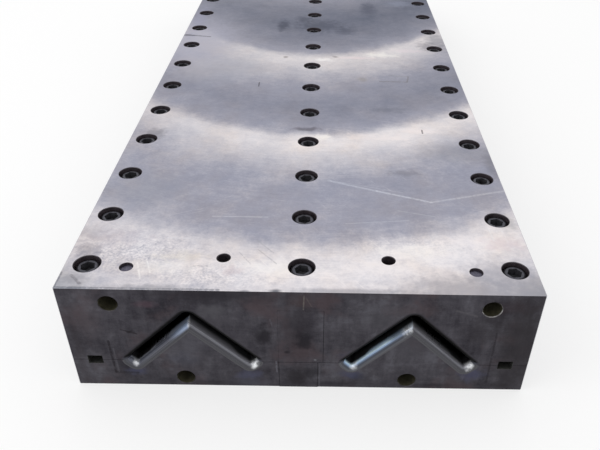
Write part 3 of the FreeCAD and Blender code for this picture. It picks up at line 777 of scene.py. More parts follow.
entryLook = {
    # the entry face's dark tones: partly its stains, partly painted shade for the dark surroundings it
    # reflects
    "tones": [(0.28, (46, 44, 50)), (0.44, (63, 61, 67)), (0.55, (73, 71, 77)), (0.7, (90, 89, 96))],
    "warm": (80, 68, 71),
    "warmth": 0.55,
    # how much each kind of mark changes the tone
    "upright": 0.42,
    "grain": 0.2,
    "pores": 0.2,
    "hairlines": 0.07,
    "roughness": (0.34, 0.52),
    "scratchAngles": (0.3, 1.3, -0.7, 1.75),
    "spots": [
        # dark areas: outer right end, upper left band, centre bars and base
        ((166, 50), (26, 90), 0.75, (45, 42, 45), 0.8),
        ((-62, 97), (66, 13), 0.7, (43, 41, 46), 0.9),
        ((-2, 68), (17, 42), 0.55, (50, 47, 52), 0.7),
        ((-2, 10), (16, 19), 0.8, (37, 34, 38), 0.6),
        ((136, 64), (22, 20), 0.55, (48, 45, 49), 1.2),
        ((-27.5, 56), (8, 16), 0.85, (38, 36, 41), 1.6),
        ((2.5, 52), (10, 14), 0.8, (35, 33, 38), 1.9),
        ((-10.8, 39), (3.5, 2.4), 0.7, (34, 32, 36), 1.2),
        ((11, 31), (1.6, 1.4), 0.8, (112, 112, 118), 0.5),
        ((142, 77), (12, 12), 0.6, (40, 37, 41), 1.2),
        ((10, 17), (11, 10), 0.7, (40, 38, 43), 1.2),
        ((24, 4), (20, 4), 0.6, (46, 44, 50), 1.2),
        ((156, 5), (14, 4), 0.5, (44, 41, 45), 1.2),
        # lighter patches
        ((-66, 79), (14, 9), 0.65, (84, 83, 88), 1.5),
        ((-158, 70), (15, 24), 0.45, (82, 74, 78), 1.2),
        ((60, 74), (26, 18), 0.4, (78, 77, 82), 1.2),
        ((83, 46), (22, 24), 0.45, (74, 73, 79), 0.6),
        ((-83, 46), (24, 24), 0.45, (74, 73, 80), 0.6),
        ((-40, 6), (20, 9), 0.4, (76, 77, 90), 1.2),
        # painted bluish glow round the four toes, where their polish reflects light
        ((-128, 16), (12, 7), 0.6, (74, 76, 98), 1.6),
        ((-40, 14), (13, 7), 0.6, (76, 78, 98), 1.6),
        ((40, 15), (12, 8), 0.6, (72, 76, 100), 1.6),
        ((133, 18), (13, 11), 0.6, (72, 74, 98), 1.6),
        ((-90, 30), (16, 9), 0.3, (72, 74, 86), 1.2),
        ((38, 34), (12, 8), 0.35, (76, 80, 100), 1.6),
        ((32, 22), (13, 9), 0.35, (78, 77, 84), 1.2),
        # pinkish tints
        ((-112, 86), (12, 5), 0.5, (86, 70, 78), 1.2),
        ((0, 92), (14, 10), 0.4, (74, 62, 62), 1.2),
        ((84, 84), (24, 9), 0.35, (80, 71, 74), 1.2),
        ((152, 88), (20, 9), 0.4, (56, 47, 50), 1.2),
        # dark stains along the base and round the outer left toe
        ((-70, 3), (30, 5), 0.5, (46, 44, 50), 1.2),
        ((104, 4), (22, 4), 0.6, (40, 36, 42), 1.2),
        ((48, 12), (10, 9), 0.45, (50, 48, 54), 1.2),
        ((-136, 22), (8, 9), 0.4, (48, 46, 52), 1.2),
        ((-145, 92), (10, 6), 0.5, (44, 41, 46), 1.2),
        ((-168, 40), (5, 60), 0.4, (52, 47, 51), 1.2),
    ],
    "strokes": [
        ((-144.5, 48), (-144, 14), 1.3, 0.75, (36, 33, 38)),
        ((-144, 14.5), (-127, 14), 1.6, 0.6, (40, 38, 42)),
        ((-142, 40), (-141.5, 15), 0.8, 0.5, (86, 86, 92)),
        ((145.5, 62), (145.8, 9), 1.1, 0.5, (36, 33, 37)),
        ((-133, 60), (-122, 56), 1.0, 0.7, (38, 34, 38)),
        ((-128, 57.5), (-125, 59), 1.4, 0.6, (36, 33, 37)),
        ((2.5, 96), (2, 83), 0.7, 0.6, (108, 104, 100)),
        ((4, 94), (8, 86), 0.6, 0.4, (98, 92, 90)),
        ((-22.5, 73), (-21, 66), 0.8, 0.4, (96, 96, 104)),
        ((-19, 28.5), (-18.6, 17), 1.0, 0.6, (104, 104, 112)),
        ((14.6, 27), (14.4, 2), 0.8, 0.5, (92, 91, 98)),
        ((15, 27.2), (34, 27.4), 0.7, 0.4, (92, 92, 98)),
        ((-170, 30), (-151, 29.2), 0.8, 0.4, (86, 85, 90)),
        ((113, 84), (128, 79), 1.3, 0.4, (92, 90, 94)),
        ((60, 78), (78, 90), 0.9, 0.25, (86, 84, 90)),
    ],
}


def makeEndSteel(name, look, stainsAndGlow):
    material, tree, shader, position = startFinish(name)
    x, _, z = splitVector(tree, position)
    flat = packVector(tree, x, z, 0.0)
    grain = useGroup(tree, wheelGrain, {"Position": position, "Stretch": (45, 1, 260)})
    broad = noise(tree, position, 34, 7, 0.66)
    upright = noise(tree, vectorCalc(tree, "MULTIPLY", position, (120, 1, 24)), 1.0, 5, 0.62)
    pores = noise(tree, position, 330, 3, 0.6)
    level = broad
    for kind, pattern in (("upright", upright), ("grain", grain), ("pores", pores)):
        level = calc(tree, "MULTIPLY_ADD", calc(tree, "SUBTRACT", pattern, 0.5), look[kind], level)
    for turn in look["scratchAngles"]:
        hair = useGroup(tree, hairlines, {"Position": flat, "Turn": turn})
        level = calc(tree, "MULTIPLY_ADD", hair, look["hairlines"], level)
    colour = ramp(tree, level, [(place, tone(*shade)) for place, shade in look["tones"]])
    shifted = vectorCalc(tree, "ADD", position, (3.1, 0, 1.7))
    warm = fade(tree, noise(tree, shifted, 24, 5, 0.6), 0.5, 0.68, 0.0, look["warmth"])
    colour = blend(tree, warm, colour, tone(*look["warm"]))
    # stains and marks, with the painted glow round the toes
    if stainsAndGlow:
        colour = addSpots(tree, position, colour, look["spots"], "XZ")
        colour = addStrokes(tree, position, colour, look["strokes"], "XZ")
    tree.links.new(colour, shader.inputs["Base Color"])
    tree.links.new(fade(tree, broad, 0.3, 0.7, *look["roughness"]), shader.inputs["Roughness"])
    addBump(tree, shader, level, 0.1, 0.0004)
    return material


# Mouths: polished chrome on the ridges, with painted reflections and painted shade; dull oxide on the upper
# lips, painted dark as shade inside the mouth

mouthLook = {
    # painted reflections and painted shade across the flare of the ridges, from the face inwards
    "leftInLeft": [(0, (66, 65, 70)), (0.1, (70, 70, 75)), (0.2, (58, 58, 63)), (0.35, (60, 61, 67)),
                   (0.47, (70, 71, 79)), (0.56, (64, 65, 73)), (0.66, (84, 85, 95)), (0.74, (76, 78, 88)),
                   (0.82, (90, 93, 105)), (0.9, (86, 89, 100)), (0.97, (98, 100, 112)), (1, (168, 172, 184))],
    "leftInRight": [(0, (66, 65, 70)), (0.1, (76, 76, 81)), (0.2, (72, 72, 78)), (0.31, (84, 86, 92)),
                    (0.43, (68, 70, 78)), (0.53, (64, 67, 76)), (0.61, (58, 63, 74)), (0.7, (90, 103, 124)),
                    (0.78, (124, 142, 170)), (0.86, (176, 202, 234)), (0.91, (222, 246, 255)),
                    (1, (190, 214, 236))],
    "right": [(0, (66, 65, 70)), (0.1, (71, 71, 75)), (0.2, (62, 62, 67)), (0.42, (67, 67, 72)),
              (0.6, (58, 58, 64)), (0.7, (84, 84, 91)), (0.78, (112, 113, 120)), (0.86, (126, 126, 134)),
              (0.93, (122, 122, 129)), (1, (120, 120, 126))],
    # the upper lips go from the face tone into painted shade, nearly black
    "lip": [(0, (62, 60, 65)), (0.12, (58, 56, 61)), (0.22, (42, 41, 44)), (0.34, (20, 19, 20)),
            (0.5, (8, 8, 8)), (1, (6, 6, 6))],
    "lipToe": [(0, (62, 61, 67)), (0.5, (74, 75, 84)), (1, (52, 53, 60))],
    "lipTint": (0.4, 0.4, 0.4, 1),
    "lipMetal": 0.3,
    "lipRoughness": 0.42,
    "lipGloss": 0.05,
    # painted shade deep in the passage
    "deepShade": (44, 44, 46),
    "flareMetal": 0.35,
    "wander": 0.2,
    "lipWander": 0.16,
    "shineRagged": 1.4,
    # depths from the entry face: where the painted shade turns it dark, where the chrome is full metal, and
    # how much further the painted light reaches in on the left ridge, on the right one's left leg and behind
    # the toes
    "darkening": (6 * mm, 9.6 * mm),
    "polishing": (9.5 * mm, 14 * mm),
    "reachLeft": 2.4 * mm,
    "reachRight": -1.2 * mm,
    "reachToe": -2.4 * mm,
    # painted light near the exit, and the painted highlight white of the polish
    "exit": (148, 150, 156),
    "white": (250, 252, 255),
    # painted highlights where the polish shines: middle across and up, half sizes and strength
    "paintedHighlights": [
        ((-127.4, 24.6), (3.2, 5.6), 0.8),
        ((-35.8, 24.2), (4.2, 8.0), 0.95),
        ((40.8, 24.8), (4.4, 6.0), 0.75),
        ((129.9, 25.6), (4.3, 6.8), 0.9),
        ((-83.2, 65.0), (1.8, 4.4), 0.55),
        ((-80.4, 66.0), (1.4, 2.6), 0.3),
        ((77.8, 63.5), (6.6, 7.0), 0.75),
    ],
    # painted reflections: a bluish glow on the left ridge, and the dimmer tone of the right ridge's streak
    # near its crest
    "paintedGlow": (152, 168, 196),
    "glowShown": 0.8,
    "crest": (104, 114, 134),
    "crestShown": 0.75,
}


def flareSpan(tree, y):
    # how far across the flare a point lies, 0 at the face and 1 where the flare ends
    depth = calc(tree, "SUBTRACT", y, die["entry"])
    rest = calc(tree, "SUBTRACT", 1.0, calc(tree, "DIVIDE", depth, cavity["entryRadius"]), clamp=True)
    square = calc(tree, "MULTIPLY_ADD", rest, calc(tree, "MULTIPLY", rest, -1.0), 1.0)
    return depth, calc(tree, "SQRT", calc(tree, "MAXIMUM", square, 0.0))


def toneRamp(tree, value, stops):
    return ramp(tree, value, [(place, tone(*shade)) for place, shade in stops])


def shadeInside(tree, colour, y, depth):
    # painted shade inside the passage, and painted light again near the exit
    dark = fade(tree, depth, *mouthLook["darkening"])
    colour = blend(tree, dark, colour, tone(*mouthLook["deepShade"]))
    nearExit = fade(tree, y, die["exit"] - 0.03, die["exit"] - 0.004)
    return blend(tree, nearExit, colour, tone(*mouthLook["exit"]))


def makeCavityChrome(name):
    material, tree, shader, position = startFinish(name)
    x, y, z = splitVector(tree, position)
    depth, span = flareSpan(tree, y)
    fromAxis = calc(tree, "MULTIPLY_ADD", calc(tree, "SIGN", x), -cavity["offset"], x)
    leftLeg = fade(tree, fromAxis, 0.0006, -0.0006)
    rightCavity = fade(tree, x, -0.001, 0.001)
    # streaks run along the flare, and the bands of painted reflection wander a little
    streaked = packVector(tree, calc(tree, "MULTIPLY", x, 34), calc(tree, "MULTIPLY", span, 16), rightCavity)
    streaks = noise(tree, streaked, 1.0, 5, 0.7)
    wandered = calc(tree, "MULTIPLY_ADD", calc(tree, "SUBTRACT", streaks, 0.5), mouthLook["wander"], span)
    leftTones = blend(
        tree,
        rightCavity,
        toneRamp(tree, wandered, mouthLook["leftInLeft"]),
        toneRamp(tree, wandered, mouthLook["leftInRight"]),
    )
    colour = blend(tree, leftLeg, toneRamp(tree, wandered, mouthLook["right"]), leftTones)
    # the painted highlight streak of the right ridge is weaker towards its crest
    weaker = calc(tree, "MULTIPLY", fade(tree, z, 0.046, 0.054), fade(tree, span, 0.6, 0.8))
    brightLeg = calc(tree, "MULTIPLY", leftLeg, rightCavity)
    weaker = calc(tree, "MULTIPLY", calc(tree, "MULTIPLY", weaker, brightLeg), mouthLook["crestShown"])
    colour = blend(tree, weaker, colour, tone(*mouthLook["crest"]))
    # painted bluish glow on the upper part of the left ridge towards its crest
    crest = calc(tree, "MULTIPLY", fade(tree, z, 0.046, 0.062), fade(tree, span, 0.35, 0.7))
    crest = calc(tree, "MULTIPLY", crest, calc(tree, "SUBTRACT", leftLeg, brightLeg))
    paintedGlow = calc(tree, "MULTIPLY", crest, mouthLook["glowShown"])
    colour = blend(tree, paintedGlow, colour, tone(*mouthLook["paintedGlow"]))
    broken = fade(tree, noise(tree, position, 380, 3), 0.36, 0.56, 0.35, 1.0)
    polished = fade(tree, depth, *mouthLook["polishing"], mouthLook["flareMetal"], 1.0)
    # painted highlights in white
    for at, halves, strength in mouthLook["paintedHighlights"]:
        mask = spotMask(tree, position, at, halves, mouthLook["shineRagged"], "XZ")
        shown = calc(tree, "MULTIPLY", mask, fade(tree, span, 0.1, 0.5))
        shown = calc(tree, "MULTIPLY", shown, calc(tree, "MULTIPLY", broken, strength))
        colour = blend(tree, shown, colour, tone(*mouthLook["white"]))
        polished = calc(tree, "MAXIMUM", polished, shown)
    # painted light reaches further in on the left ridge than on the right one's left leg, and least behind
    # the toes
    awayFromToe = fade(tree, z, 0.036, 0.056)
    leftReach = calc(tree, "MULTIPLY", awayFromToe, mouthLook["reachLeft"])
    change = calc(tree, "MULTIPLY_ADD", leftReach, -1.0, mouthLook["reachRight"])
    reach = calc(tree, "MULTIPLY", leftLeg, calc(tree, "MULTIPLY_ADD", rightCavity, change, leftReach))
    reach = calc(tree, "ADD", reach, fade(tree, z, 0.038, 0.031, 0.0, mouthLook["reachToe"]))
    colour = shadeInside(tree, colour, y, calc(tree, "SUBTRACT", depth, reach))
    tree.links.new(colour, shader.inputs["Base Color"])
    tree.links.new(polished, shader.inputs["Metallic"])
    tree.links.new(fade(tree, streaks, 0.3, 0.7, 0.24, 0.38), shader.inputs["Roughness"])
    addBump(tree, shader, streaks, 0.06, 0.0002)
    return material


def makeLipSteel(name):
    # the upper lips turn dark at once with painted shade, but round the toes they keep the tone of the face
    material, tree, shader, position = startFinish(name)
    y, z = splitVector(tree, position)[1:]
    depth, span = flareSpan(tree, y)
    worn = noise(tree, position, 210, 5, 0.6)
    wandered = calc(tree, "MULTIPLY_ADD", calc(tree, "SUBTRACT", worn, 0.5), mouthLook["lipWander"], span)
    aboveToe = fade(tree, z, 0.0285, 0.0312)
    colour = blend(
        tree,
        aboveToe,
        toneRamp(tree, wandered, mouthLook["lipToe"]),
        toneRamp(tree, wandered, mouthLook["lip"]),
    )
    colour = shadeInside(tree, colour, y, depth)
    tree.links.new(colour, shader.inputs["Base Color"])
    tree.links.new(fade(tree, depth, 0.009, 0.014, mouthLook["lipMetal"], 1.0), shader.inputs["Metallic"])
    shader.inputs["Roughness"].default_value = mouthLook["lipRoughness"]
    shader.inputs["Specular IOR Level"].default_value = mouthLook["lipGloss"]
    shader.inputs["Specular Tint"].default_value = mouthLook["lipTint"]
    addBump(tree, shader, worn, 0.08, 0.0003)
    return material


def makeMottled(name, tones, scale, roughness, metallic=1.0):
    # an even finish with small changes of tone
    material, tree, shader, position = startFinish(name, metallic)
    level = noise(tree, position, scale, 5, 0.6)
    dark, light = tones
    colour = ramp(tree, level, [(0.3, tone(*dark)), (0.7, tone(*light))])
    tree.links.new(colour, shader.inputs["Base Color"])
    tree.links.new(fade(tree, level, 0.3, 0.7, roughness, roughness + 0.1), shader.inputs["Roughness"])
    addBump(tree, shader, level, 0.1, 0.0003)
    return material


def makeTappedRim(name):
    # dull like the face, but the upper right rim is brighter
    material, tree, shader, position = startFinish(name)
    x, _, z = splitVector(tree, position)
    upperRight = calc(tree, "MULTIPLY", fade(tree, x, 0.12, 0.13), fade(tree, z, 0.05, 0.06))
    dull = ramp(tree, noise(tree, position, 260, 3), [(0.35, tone(52, 50, 52)), (0.65, tone(78, 76, 80))])
    bright = ramp(tree, noise(tree, position, 180, 3), [(0.4, tone(84, 82, 84)), (0.6, tone(150, 148, 148))])
    tree.links.new(blend(tree, upperRight, dull, bright), shader.inputs["Base Color"])
    shader.inputs["Roughness"].default_value = 0.4
    return material


exitTones = [(0.3, (74, 73, 78)), (0.5, (92, 91, 97)), (0.7, (112, 110, 116))]
exitLook = dict(entryLook, tones=exitTones, warmth=0.3)

makeFinish = {
    "groundTop": makeGroundTop,
    "groundSide": makeGroundSide,
    "entrySteel": lambda name: makeEndSteel(name, entryLook, True),
    "exitSteel": lambda name: makeEndSteel(name, exitLook, False),
    "cavityChrome": makeCavityChrome,
    "lipSteel": makeLipSteel,
    "tappedRim": makeTappedRim,
}

evenLooks = {
    "jointSteel": {"tones": ((24, 22, 24), (44, 41, 44)), "scale": 300, "roughness": 0.5},
    "boreSteel": {"tones": ((54, 47, 52), (82, 74, 80)), "scale": 240, "roughness": 0.45, "metallic": 0.5},
    "boreRim": {"tones": ((66, 64, 68), (104, 101, 106)), "scale": 320, "roughness": 0.4},
    "rimSteel": {"tones": ((140, 138, 146), (200, 198, 204)), "scale": 320, "roughness": 0.34},
    "keywaySteel": {"tones": ((28, 28, 26), (64, 64, 62)), "scale": 420, "roughness": 0.5, "metallic": 0.3},
    "tappedSteel": {"tones": ((54, 52, 40), (76, 73, 57)), "scale": 300, "roughness": 0.5, "metallic": 0.3},
    "socketOxide": {"tones": ((48, 48, 52), (68, 68, 73)), "scale": 420, "roughness": 0.45, "metallic": 0.3},
    "blackOxide": {"tones": ((44, 43, 48), (62, 61, 67)), "scale": 420, "roughness": 0.42, "metallic": 0.9},
    "wornOxide": {"tones": ((70, 70, 77), (92, 92, 100)), "scale": 420, "roughness": 0.36, "metallic": 0.9},
    "plugSteel": {"tones": ((80, 78, 92), (112, 110, 124)), "scale": 500, "roughness": 0.36},
    "keySteel": {"tones": ((44, 44, 42), (84, 86, 84)), "scale": 200, "roughness": 0.4},
}

blockLooks = {
    "top": "groundTop",
    "edge": "rimSteel",
    "side": "groundSide",
    "base": "groundSide",
    "parting": "jointSteel",
    "slot": "jointSteel",
    "seam": "jointSteel",
    "keyway": "keywaySteel",
    "lip": "lipSteel",
    "ridge": "cavityChrome",
    "entryFace": "entrySteel",
    "exitFace": "exitSteel",
}

# Sizes of the screws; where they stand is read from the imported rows

clampScrew = {
    "head": 9 * mm,
    "shoulder": 2.1 * mm,
    "headHeight": 12 * mm,
    "shank": 6 * mm,
    "socketFlats": 10 * mm,
    "socketDepth": 6 * mm,
    "bore": 10 * mm,
    "clearance": 6.75 * mm,
    "tapped": 6.05 * mm,
    "count": 14,
    "steps": 48,
}
tieScrew = {
    "head": 8 * mm,
    "shoulder": 1.8 * mm,
    "headHeight": 10 * mm,
    "shank": 5 * mm,
    "socketFlats": 8 * mm,
    "socketDepth": 5 * mm,
    "bore": 8.5 * mm,
    "clearance": 5.5 * mm,
    "tapped": 5.05 * mm,
    "count": 3,
    "steps": 40,
}


def rowPlaces(node, screw):
    # the y of each screw of a row
    low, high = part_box(node)
    first, last = low.y + screw["head"], high.y - screw["head"]
    return [first + (last - first) * index / (screw["count"] - 1) for index in range(screw["count"])]


clampY = rowPlaces("clamp_screws_left", clampScrew)
tieY = rowPlaces("tie_screws_left", tieScrew)
clampRows = {}
for node in ("clamp_screws_left", "clamp_screws_centre", "clamp_screws_right"):
    low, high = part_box(node)
    clampRows[node] = {"x": (low.x + high.x) / 2, "tip": low.z, "top": high.z}
tieLow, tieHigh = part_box("tie_screws_right")
tieZ = (tieLow.z + tieHigh.z) / 2

smallHoles = {
    "liftX": (-59 * mm, 65 * mm),
    "liftY": 37 * mm,
    "liftRadius": 5.1 * mm,
    "liftDepth": 25 * mm,
    "plugRadius": 5.05 * mm,
    "plugDepth": 11 * mm,
    "entryRadius": 7 * mm,
    "entryChamfer": 0.5 * mm,
    "upperX": 138.5 * mm,
    "upperDrop": 14.5 * mm,
    "upperDepth": 16 * mm,
    "lowerLeftX": -90 * mm,
    "lowerRightX": 83 * mm,
    "lowerRise": 9.5 * mm,
    "lowerDepth": 30 * mm,
    "steps": 36,
}
past = 1 * mm  # how far a cutter reaches past the face it cuts
baseSkin = 3 * mm  # what is left below the tapped holes
holeFinishes = ["boreSteel", "boreRim", "tappedSteel", "tappedRim"]


def rimmed(radius, rim, depth):
    # a blind hole with a broken rim, as distances into the metal
    return [(-past, radius + rim + past), (rim, radius), (depth, radius)]


def makeUpperDie():
    block = loftBlock("upperDie", upperOutline(), blockLooks)
    holes = bmesh.new()
    rim, top = edges["holeRim"], die["top"]
    down = (0, 0, -1)
    for row in clampRows.values():
        bottom = top - die["barTop"] if row["x"] == 0 else top - die["parting"]
        seat = top - row["top"] + clampScrew["headHeight"]
        profile = rimmed(clampScrew["bore"], rim, seat)
        profile += [(seat, clampScrew["clearance"]), (bottom + past, clampScrew["clearance"])]
        for y in clampY:
            addTurned(holes, (row["x"], y, top), down, profile, clampScrew["steps"], looks=(1, 0))
    liftProfile = rimmed(smallHoles["liftRadius"], rim, smallHoles["liftDepth"])
    plugProfile = rimmed(smallHoles["plugRadius"], rim / 2, smallHoles["plugDepth"])
    entryProfile = rimmed(smallHoles["entryRadius"], smallHoles["entryChamfer"], smallHoles["upperDepth"])
    plugLow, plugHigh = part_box("plug_right")
    plugX, plugY = (plugLow.x + plugHigh.x) / 2, (plugLow.y + plugHigh.y) / 2
    for liftX in smallHoles["liftX"]:
        liftPlace = (liftX, die["entry"] + smallHoles["liftY"], top)
        addTurned(holes, liftPlace, down, liftProfile, smallHoles["steps"], looks=(1, 0))
    for side in (-1, 1):
        addTurned(holes, (side * plugX, plugY, top), down, plugProfile, smallHoles["steps"], looks=(1, 0))
        entryPlace = (side * smallHoles["upperX"], die["entry"], top - smallHoles["upperDrop"])
        addTurned(holes, entryPlace, (0, 1, 0), entryProfile, smallHoles["steps"], looks=(3, 2))
    drill(block, meshPiece("upperHoles", holes, holeFinishes))
    return block


def tapRow(holes, x):
    # tapped holes down from the parting face
    depth = die["parting"] - baseSkin
    for y in clampY:
        profile = [(-past, clampScrew["tapped"]), (depth, clampScrew["tapped"])]
        addTurned(holes, (x, y, die["parting"]), (0, 0, -1), profile, clampScrew["steps"])


def makeLowerDie(side, name, row, holeX):
    block = loftBlock(name, lowerOutline(side), blockLooks)
    holes = bmesh.new()
    tapRow(holes, clampRows[row]["x"])
    entryProfile = rimmed(smallHoles["entryRadius"], smallHoles["entryChamfer"], smallHoles["lowerDepth"])
    entryPlace = (holeX, die["entry"], smallHoles["lowerRise"])
    addTurned(holes, entryPlace, (0, 1, 0), entryProfile, smallHoles["steps"], looks=(3, 2))
    seat = die["halfWidth"] - tieHigh.x + tieScrew["headHeight"]
    inner = abs(die["lowerRightInner"] if side > 0 else die["lowerLeftInner"])
    profile = rimmed(tieScrew["bore"], edges["holeRim"], seat)
    profile += [(seat, tieScrew["clearance"]), (die["halfWidth"] - inner + past, tieScrew["clearance"])]
    for y in tieY:
        place = (side * die["halfWidth"], y, tieZ)
        addTurned(holes, place, (-side, 0, 0), profile, tieScrew["steps"], looks=(1, 0))
    drill(block, meshPiece(name + "Holes", holes, holeFinishes))
    return block


def makeUpperBar():
    half, low, high = die["barHalf"], die["parting"], die["barTop"]
    outline = barOutline(-half, half, low, high, "seam", "slot", "slot")
    block = loftBlock("upperCentreBar", outline, blockLooks)
    holes = bmesh.new()
    for y in clampY:
        profile = [(-past, clampScrew["clearance"]), (high - low + past, clampScrew["clearance"])]
        addTurned(holes, (0, y, high), (0, 0, -1), profile, clampScrew["steps"])
    drill(block, meshPiece("upperBarHoles", holes, ["boreSteel"]))
    return block


def makeLowerBar():
    left, right = die["lowerLeftInner"], die["lowerRightInner"]
    outline = barOutline(left, right, 0, die["parting"], "base", "seam", "seam")
    block = loftBlock("lowerCentreBar", outline, blockLooks)
    holes = bmesh.new()
    tapRow(holes, 0)
    for y in tieY:
        profile = [(-past, tieScrew["tapped"]), (right - left + past, tieScrew["tapped"])]
        addTurned(holes, (right, y, tieZ), (-1, 0, 0), profile, tieScrew["steps"])
    drill(block, meshPiece("lowerBarHoles", holes, ["boreSteel"]))
    return block


curveAngle = 29  # degrees up to which neighbouring faces shade as one curve

print("blocks")
upperDie = makeUpperDie()
lowerLeft = makeLowerDie(-1, "lowerDieLeft", "clamp_screws_left", smallHoles["lowerLeftX"])
lowerRight = makeLowerDie(1, "lowerDieRight", "clamp_screws_right", smallHoles["lowerRightX"])
upperBar = makeUpperBar()
lowerBar = makeLowerBar()
for piece, node in (
    (upperDie, "upper_die"),
    (lowerLeft, "lower_die_left"),
    (lowerRight, "lower_die_right"),
    (upperBar, "upper_centre_bar"),
    (lowerBar, "lower_centre_bar"),
):
    smoothCurves(piece, curveAngle)
    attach(piece, "root")
    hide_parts(node)


# Screws, turned with a hexagon socket


screwFinishes = ["blackOxide", "wornOxide", "socketOxide"]
# the rounding of a head's rim, as shares of its shoulder down and inwards
headRounding = [(0.06, 0.8), (0.25, 0.42), (0.5, 0.16), (0.85, 0)]
screwBreak = {"head": 0.3 * mm, "tip": 1 * mm}
headSteps = 96


def makeScrew(screw, length):
    # one screw along Z with its head's top at the origin and a worn ring on the flat of the head
    build = bmesh.new()
    head, high, shank, shoulder = screw["head"], screw["headHeight"], screw["shank"], screw["shoulder"]
    under, tip = screwBreak["head"], screwBreak["tip"]
    profile = [(0, 0), (0, head - shoulder)]
    profile += [(down * shoulder, head - inward * shoulder) for down, inward in headRounding]
    profile += [(high - under, head), (high, head - under), (high, shank)]
    profile += [(high + length - tip, shank), (high + length, shank - tip), (high + length, 0)]
    addTurned(build, (0, 0, 0), (0, 0, -1), profile, headSteps, looks=(1, 0))
    screwBody = meshPiece("screwBody", build, screwFinishes)
    socket = bmesh.new()
    across = screw["socketFlats"] / math.sqrt(3)
    addTurned(
        socket,
        (0, 0, 0),
        (0, 0, -1),
        [(-past, across), (screw["socketDepth"], across), (screw["socketDepth"] + 0.25 * across, 0)],
        6,
    )
    drill(screwBody, meshPiece("screwSocket", socket, ["socketOxide"]))
    return screwBody


def makeRow(name, screw, places, axis, seed):
    # all screws of a row as one piece, each turned as it happened to tighten
    turns = random.Random(seed)
    single = makeScrew(screw, places["length"])
    smoothCurves(single, curveAngle)
    build = bmesh.new()
    aim = Vector((0, 0, 1)).rotation_difference(Vector(axis)).to_matrix().to_4x4()
    for spot in places["heads"]:
        copyMesh = single.data.copy()
        spin = Matrix.Rotation(turns.uniform(0, math.pi / 3), 4, "Z")
        copyMesh.transform(Matrix.Translation(spot) @ aim @ spin)
        build.from_mesh(copyMesh)
        bpy.data.meshes.remove(copyMesh)
    bpy.data.objects.remove(single)
    return meshPiece(name, build, screwFinishes)


print("screws")
for seed, (node, row) in enumerate(clampRows.items()):
    length = row["top"] - row["tip"] - clampScrew["headHeight"]
    heads = [Vector((row["x"], y, row["top"])) for y in clampY]
    name = "clampScrews" + node.split("_")[-1].title()
    piece = makeRow(name, clampScrew, {"heads": heads, "length": length}, (0, 0, 1), seed + 3)
    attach(piece, "root")
    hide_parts(node)
for side, node, name in ((-1, "tie_screws_left", "tieScrewsLeft"), (1, "tie_screws_right", "tieScrewsRight")):
    low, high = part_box(node)
    headX = high.x if side > 0 else low.x
    length = abs(high.x - low.x) - tieScrew["headHeight"]
    heads = [Vector((headX, y, tieZ)) for y in tieY]
    piece = makeRow(name, tieScrew, {"heads": heads, "length": length}, (side, 0, 0), 11 + side)
    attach(piece, "root")
    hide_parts(node)

print("keys, dowels and plugs")
for node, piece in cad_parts.items():
    if node.startswith(("key", "dowel", "plug")):
        piece.data.materials.clear()
        piece.data.materials.append(finish("plugSteel" if node.startswith("plug") else "keySteel"))

# Floor, light and camera

studio = {
    "floor": (0.95, 0.95, 0.95, 1),
    "floorRoughness": 0.9,
    "floorGloss": 0.2,
    "floorLift": 0.6,
    "dome": 0.95,
    "lamps": [
        {"name": "windowLeft", "place": (-1.6, -0.9, 1.6), "aim": (0, -0.2, 0.05), "size": 1.5, "watts": 9},
    ],
}


def seenPlainly(tree):
    # 1 for the rays that show the background itself, straight or in metal
    paths = tree.nodes.new("ShaderNodeLightPath").outputs
    seen = calc(tree, "MAXIMUM", paths["Is Camera Ray"], paths["Is Glossy Ray"])
    return calc(tree, "MAXIMUM", seen, paths["Is Transmission Ray"])


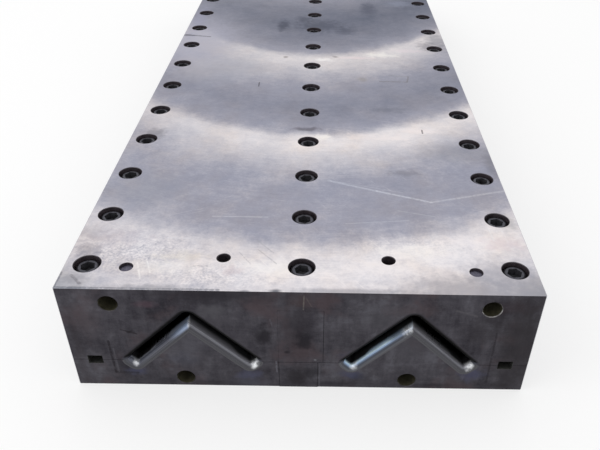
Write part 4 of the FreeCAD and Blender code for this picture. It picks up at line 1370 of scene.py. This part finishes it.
def makeFloor():
    bpy.ops.mesh.primitive_plane_add(size=30, location=(0, 0, 0))
    floor = bpy.context.object
    floor.name = "floor"
    material = bpy.data.materials.new("paleFloor")
    material.use_nodes = True
    tree = material.node_tree
    shader = tree.nodes["Principled BSDF"]
    shader.inputs["Base Color"].default_value = studio["floor"]
    shader.inputs["Roughness"].default_value = studio["floorRoughness"]
    shader.inputs["Specular IOR Level"].default_value = studio["floorGloss"]
    # part of the white is added where the camera sees the floor, so the shadow stays soft
    white = tree.nodes.new("ShaderNodeEmission")
    mixed = tree.nodes.new("ShaderNodeMixShader")
    join(tree, calc(tree, "MULTIPLY", seenPlainly(tree), studio["floorLift"]), mixed.inputs[0])
    tree.links.new(shader.outputs[0], mixed.inputs[1])
    tree.links.new(white.outputs[0], mixed.inputs[2])
    tree.links.new(mixed.outputs[0], tree.nodes["Material Output"].inputs["Surface"])
    floor.data.materials.append(material)


def makeDome():
    # white where the camera sees it, a little weaker as light
    world = bpy.data.worlds.new("studio")
    bpy.context.scene.world = world
    world.use_nodes = True
    tree = world.node_tree
    background = tree.nodes["Background"]
    background.inputs["Color"].default_value = (1, 1, 1, 1)
    seen = calc(tree, "MULTIPLY_ADD", seenPlainly(tree), 1 - studio["dome"], studio["dome"])
    tree.links.new(seen, background.inputs["Strength"])


def makeLamps():
    for lamp in studio["lamps"]:
        light = bpy.data.lights.new(lamp["name"], "AREA")
        light.shape = "SQUARE"
        light.size = lamp["size"]
        light.energy = lamp["watts"]
        holder = bpy.data.objects.new(lamp["name"], light)
        holder.location = lamp["place"]
        towards = Vector(lamp["aim"]) - Vector(lamp["place"])
        holder.rotation_euler = towards.to_track_quat("-Z", "Y").to_euler()
        bpy.context.scene.collection.objects.link(holder)


print("floor, light and camera")
makeFloor()
makeDome()
makeLamps()

view = {
    "place": (0.01313, -0.79967, 0.40725),
    "turn": (54.654, -1.046, 0.186),
    "lens": 39.337,
    "sensor": 36,
    "shift": (-0.04238, -0.0023),
}
lensData = bpy.data.cameras.new("camera")
lensData.lens = view["lens"]
lensData.sensor_width = view["sensor"]
lensData.shift_x, lensData.shift_y = view["shift"]
lensData.clip_start = 0.01
camera = bpy.data.objects.new("camera", lensData)
camera.location = view["place"]
camera.rotation_euler = [math.radians(angle) for angle in view["turn"]]
bpy.context.scene.collection.objects.link(camera)
bpy.context.scene.camera = camera
bpy.context.scene.view_settings.view_transform = "Standard"
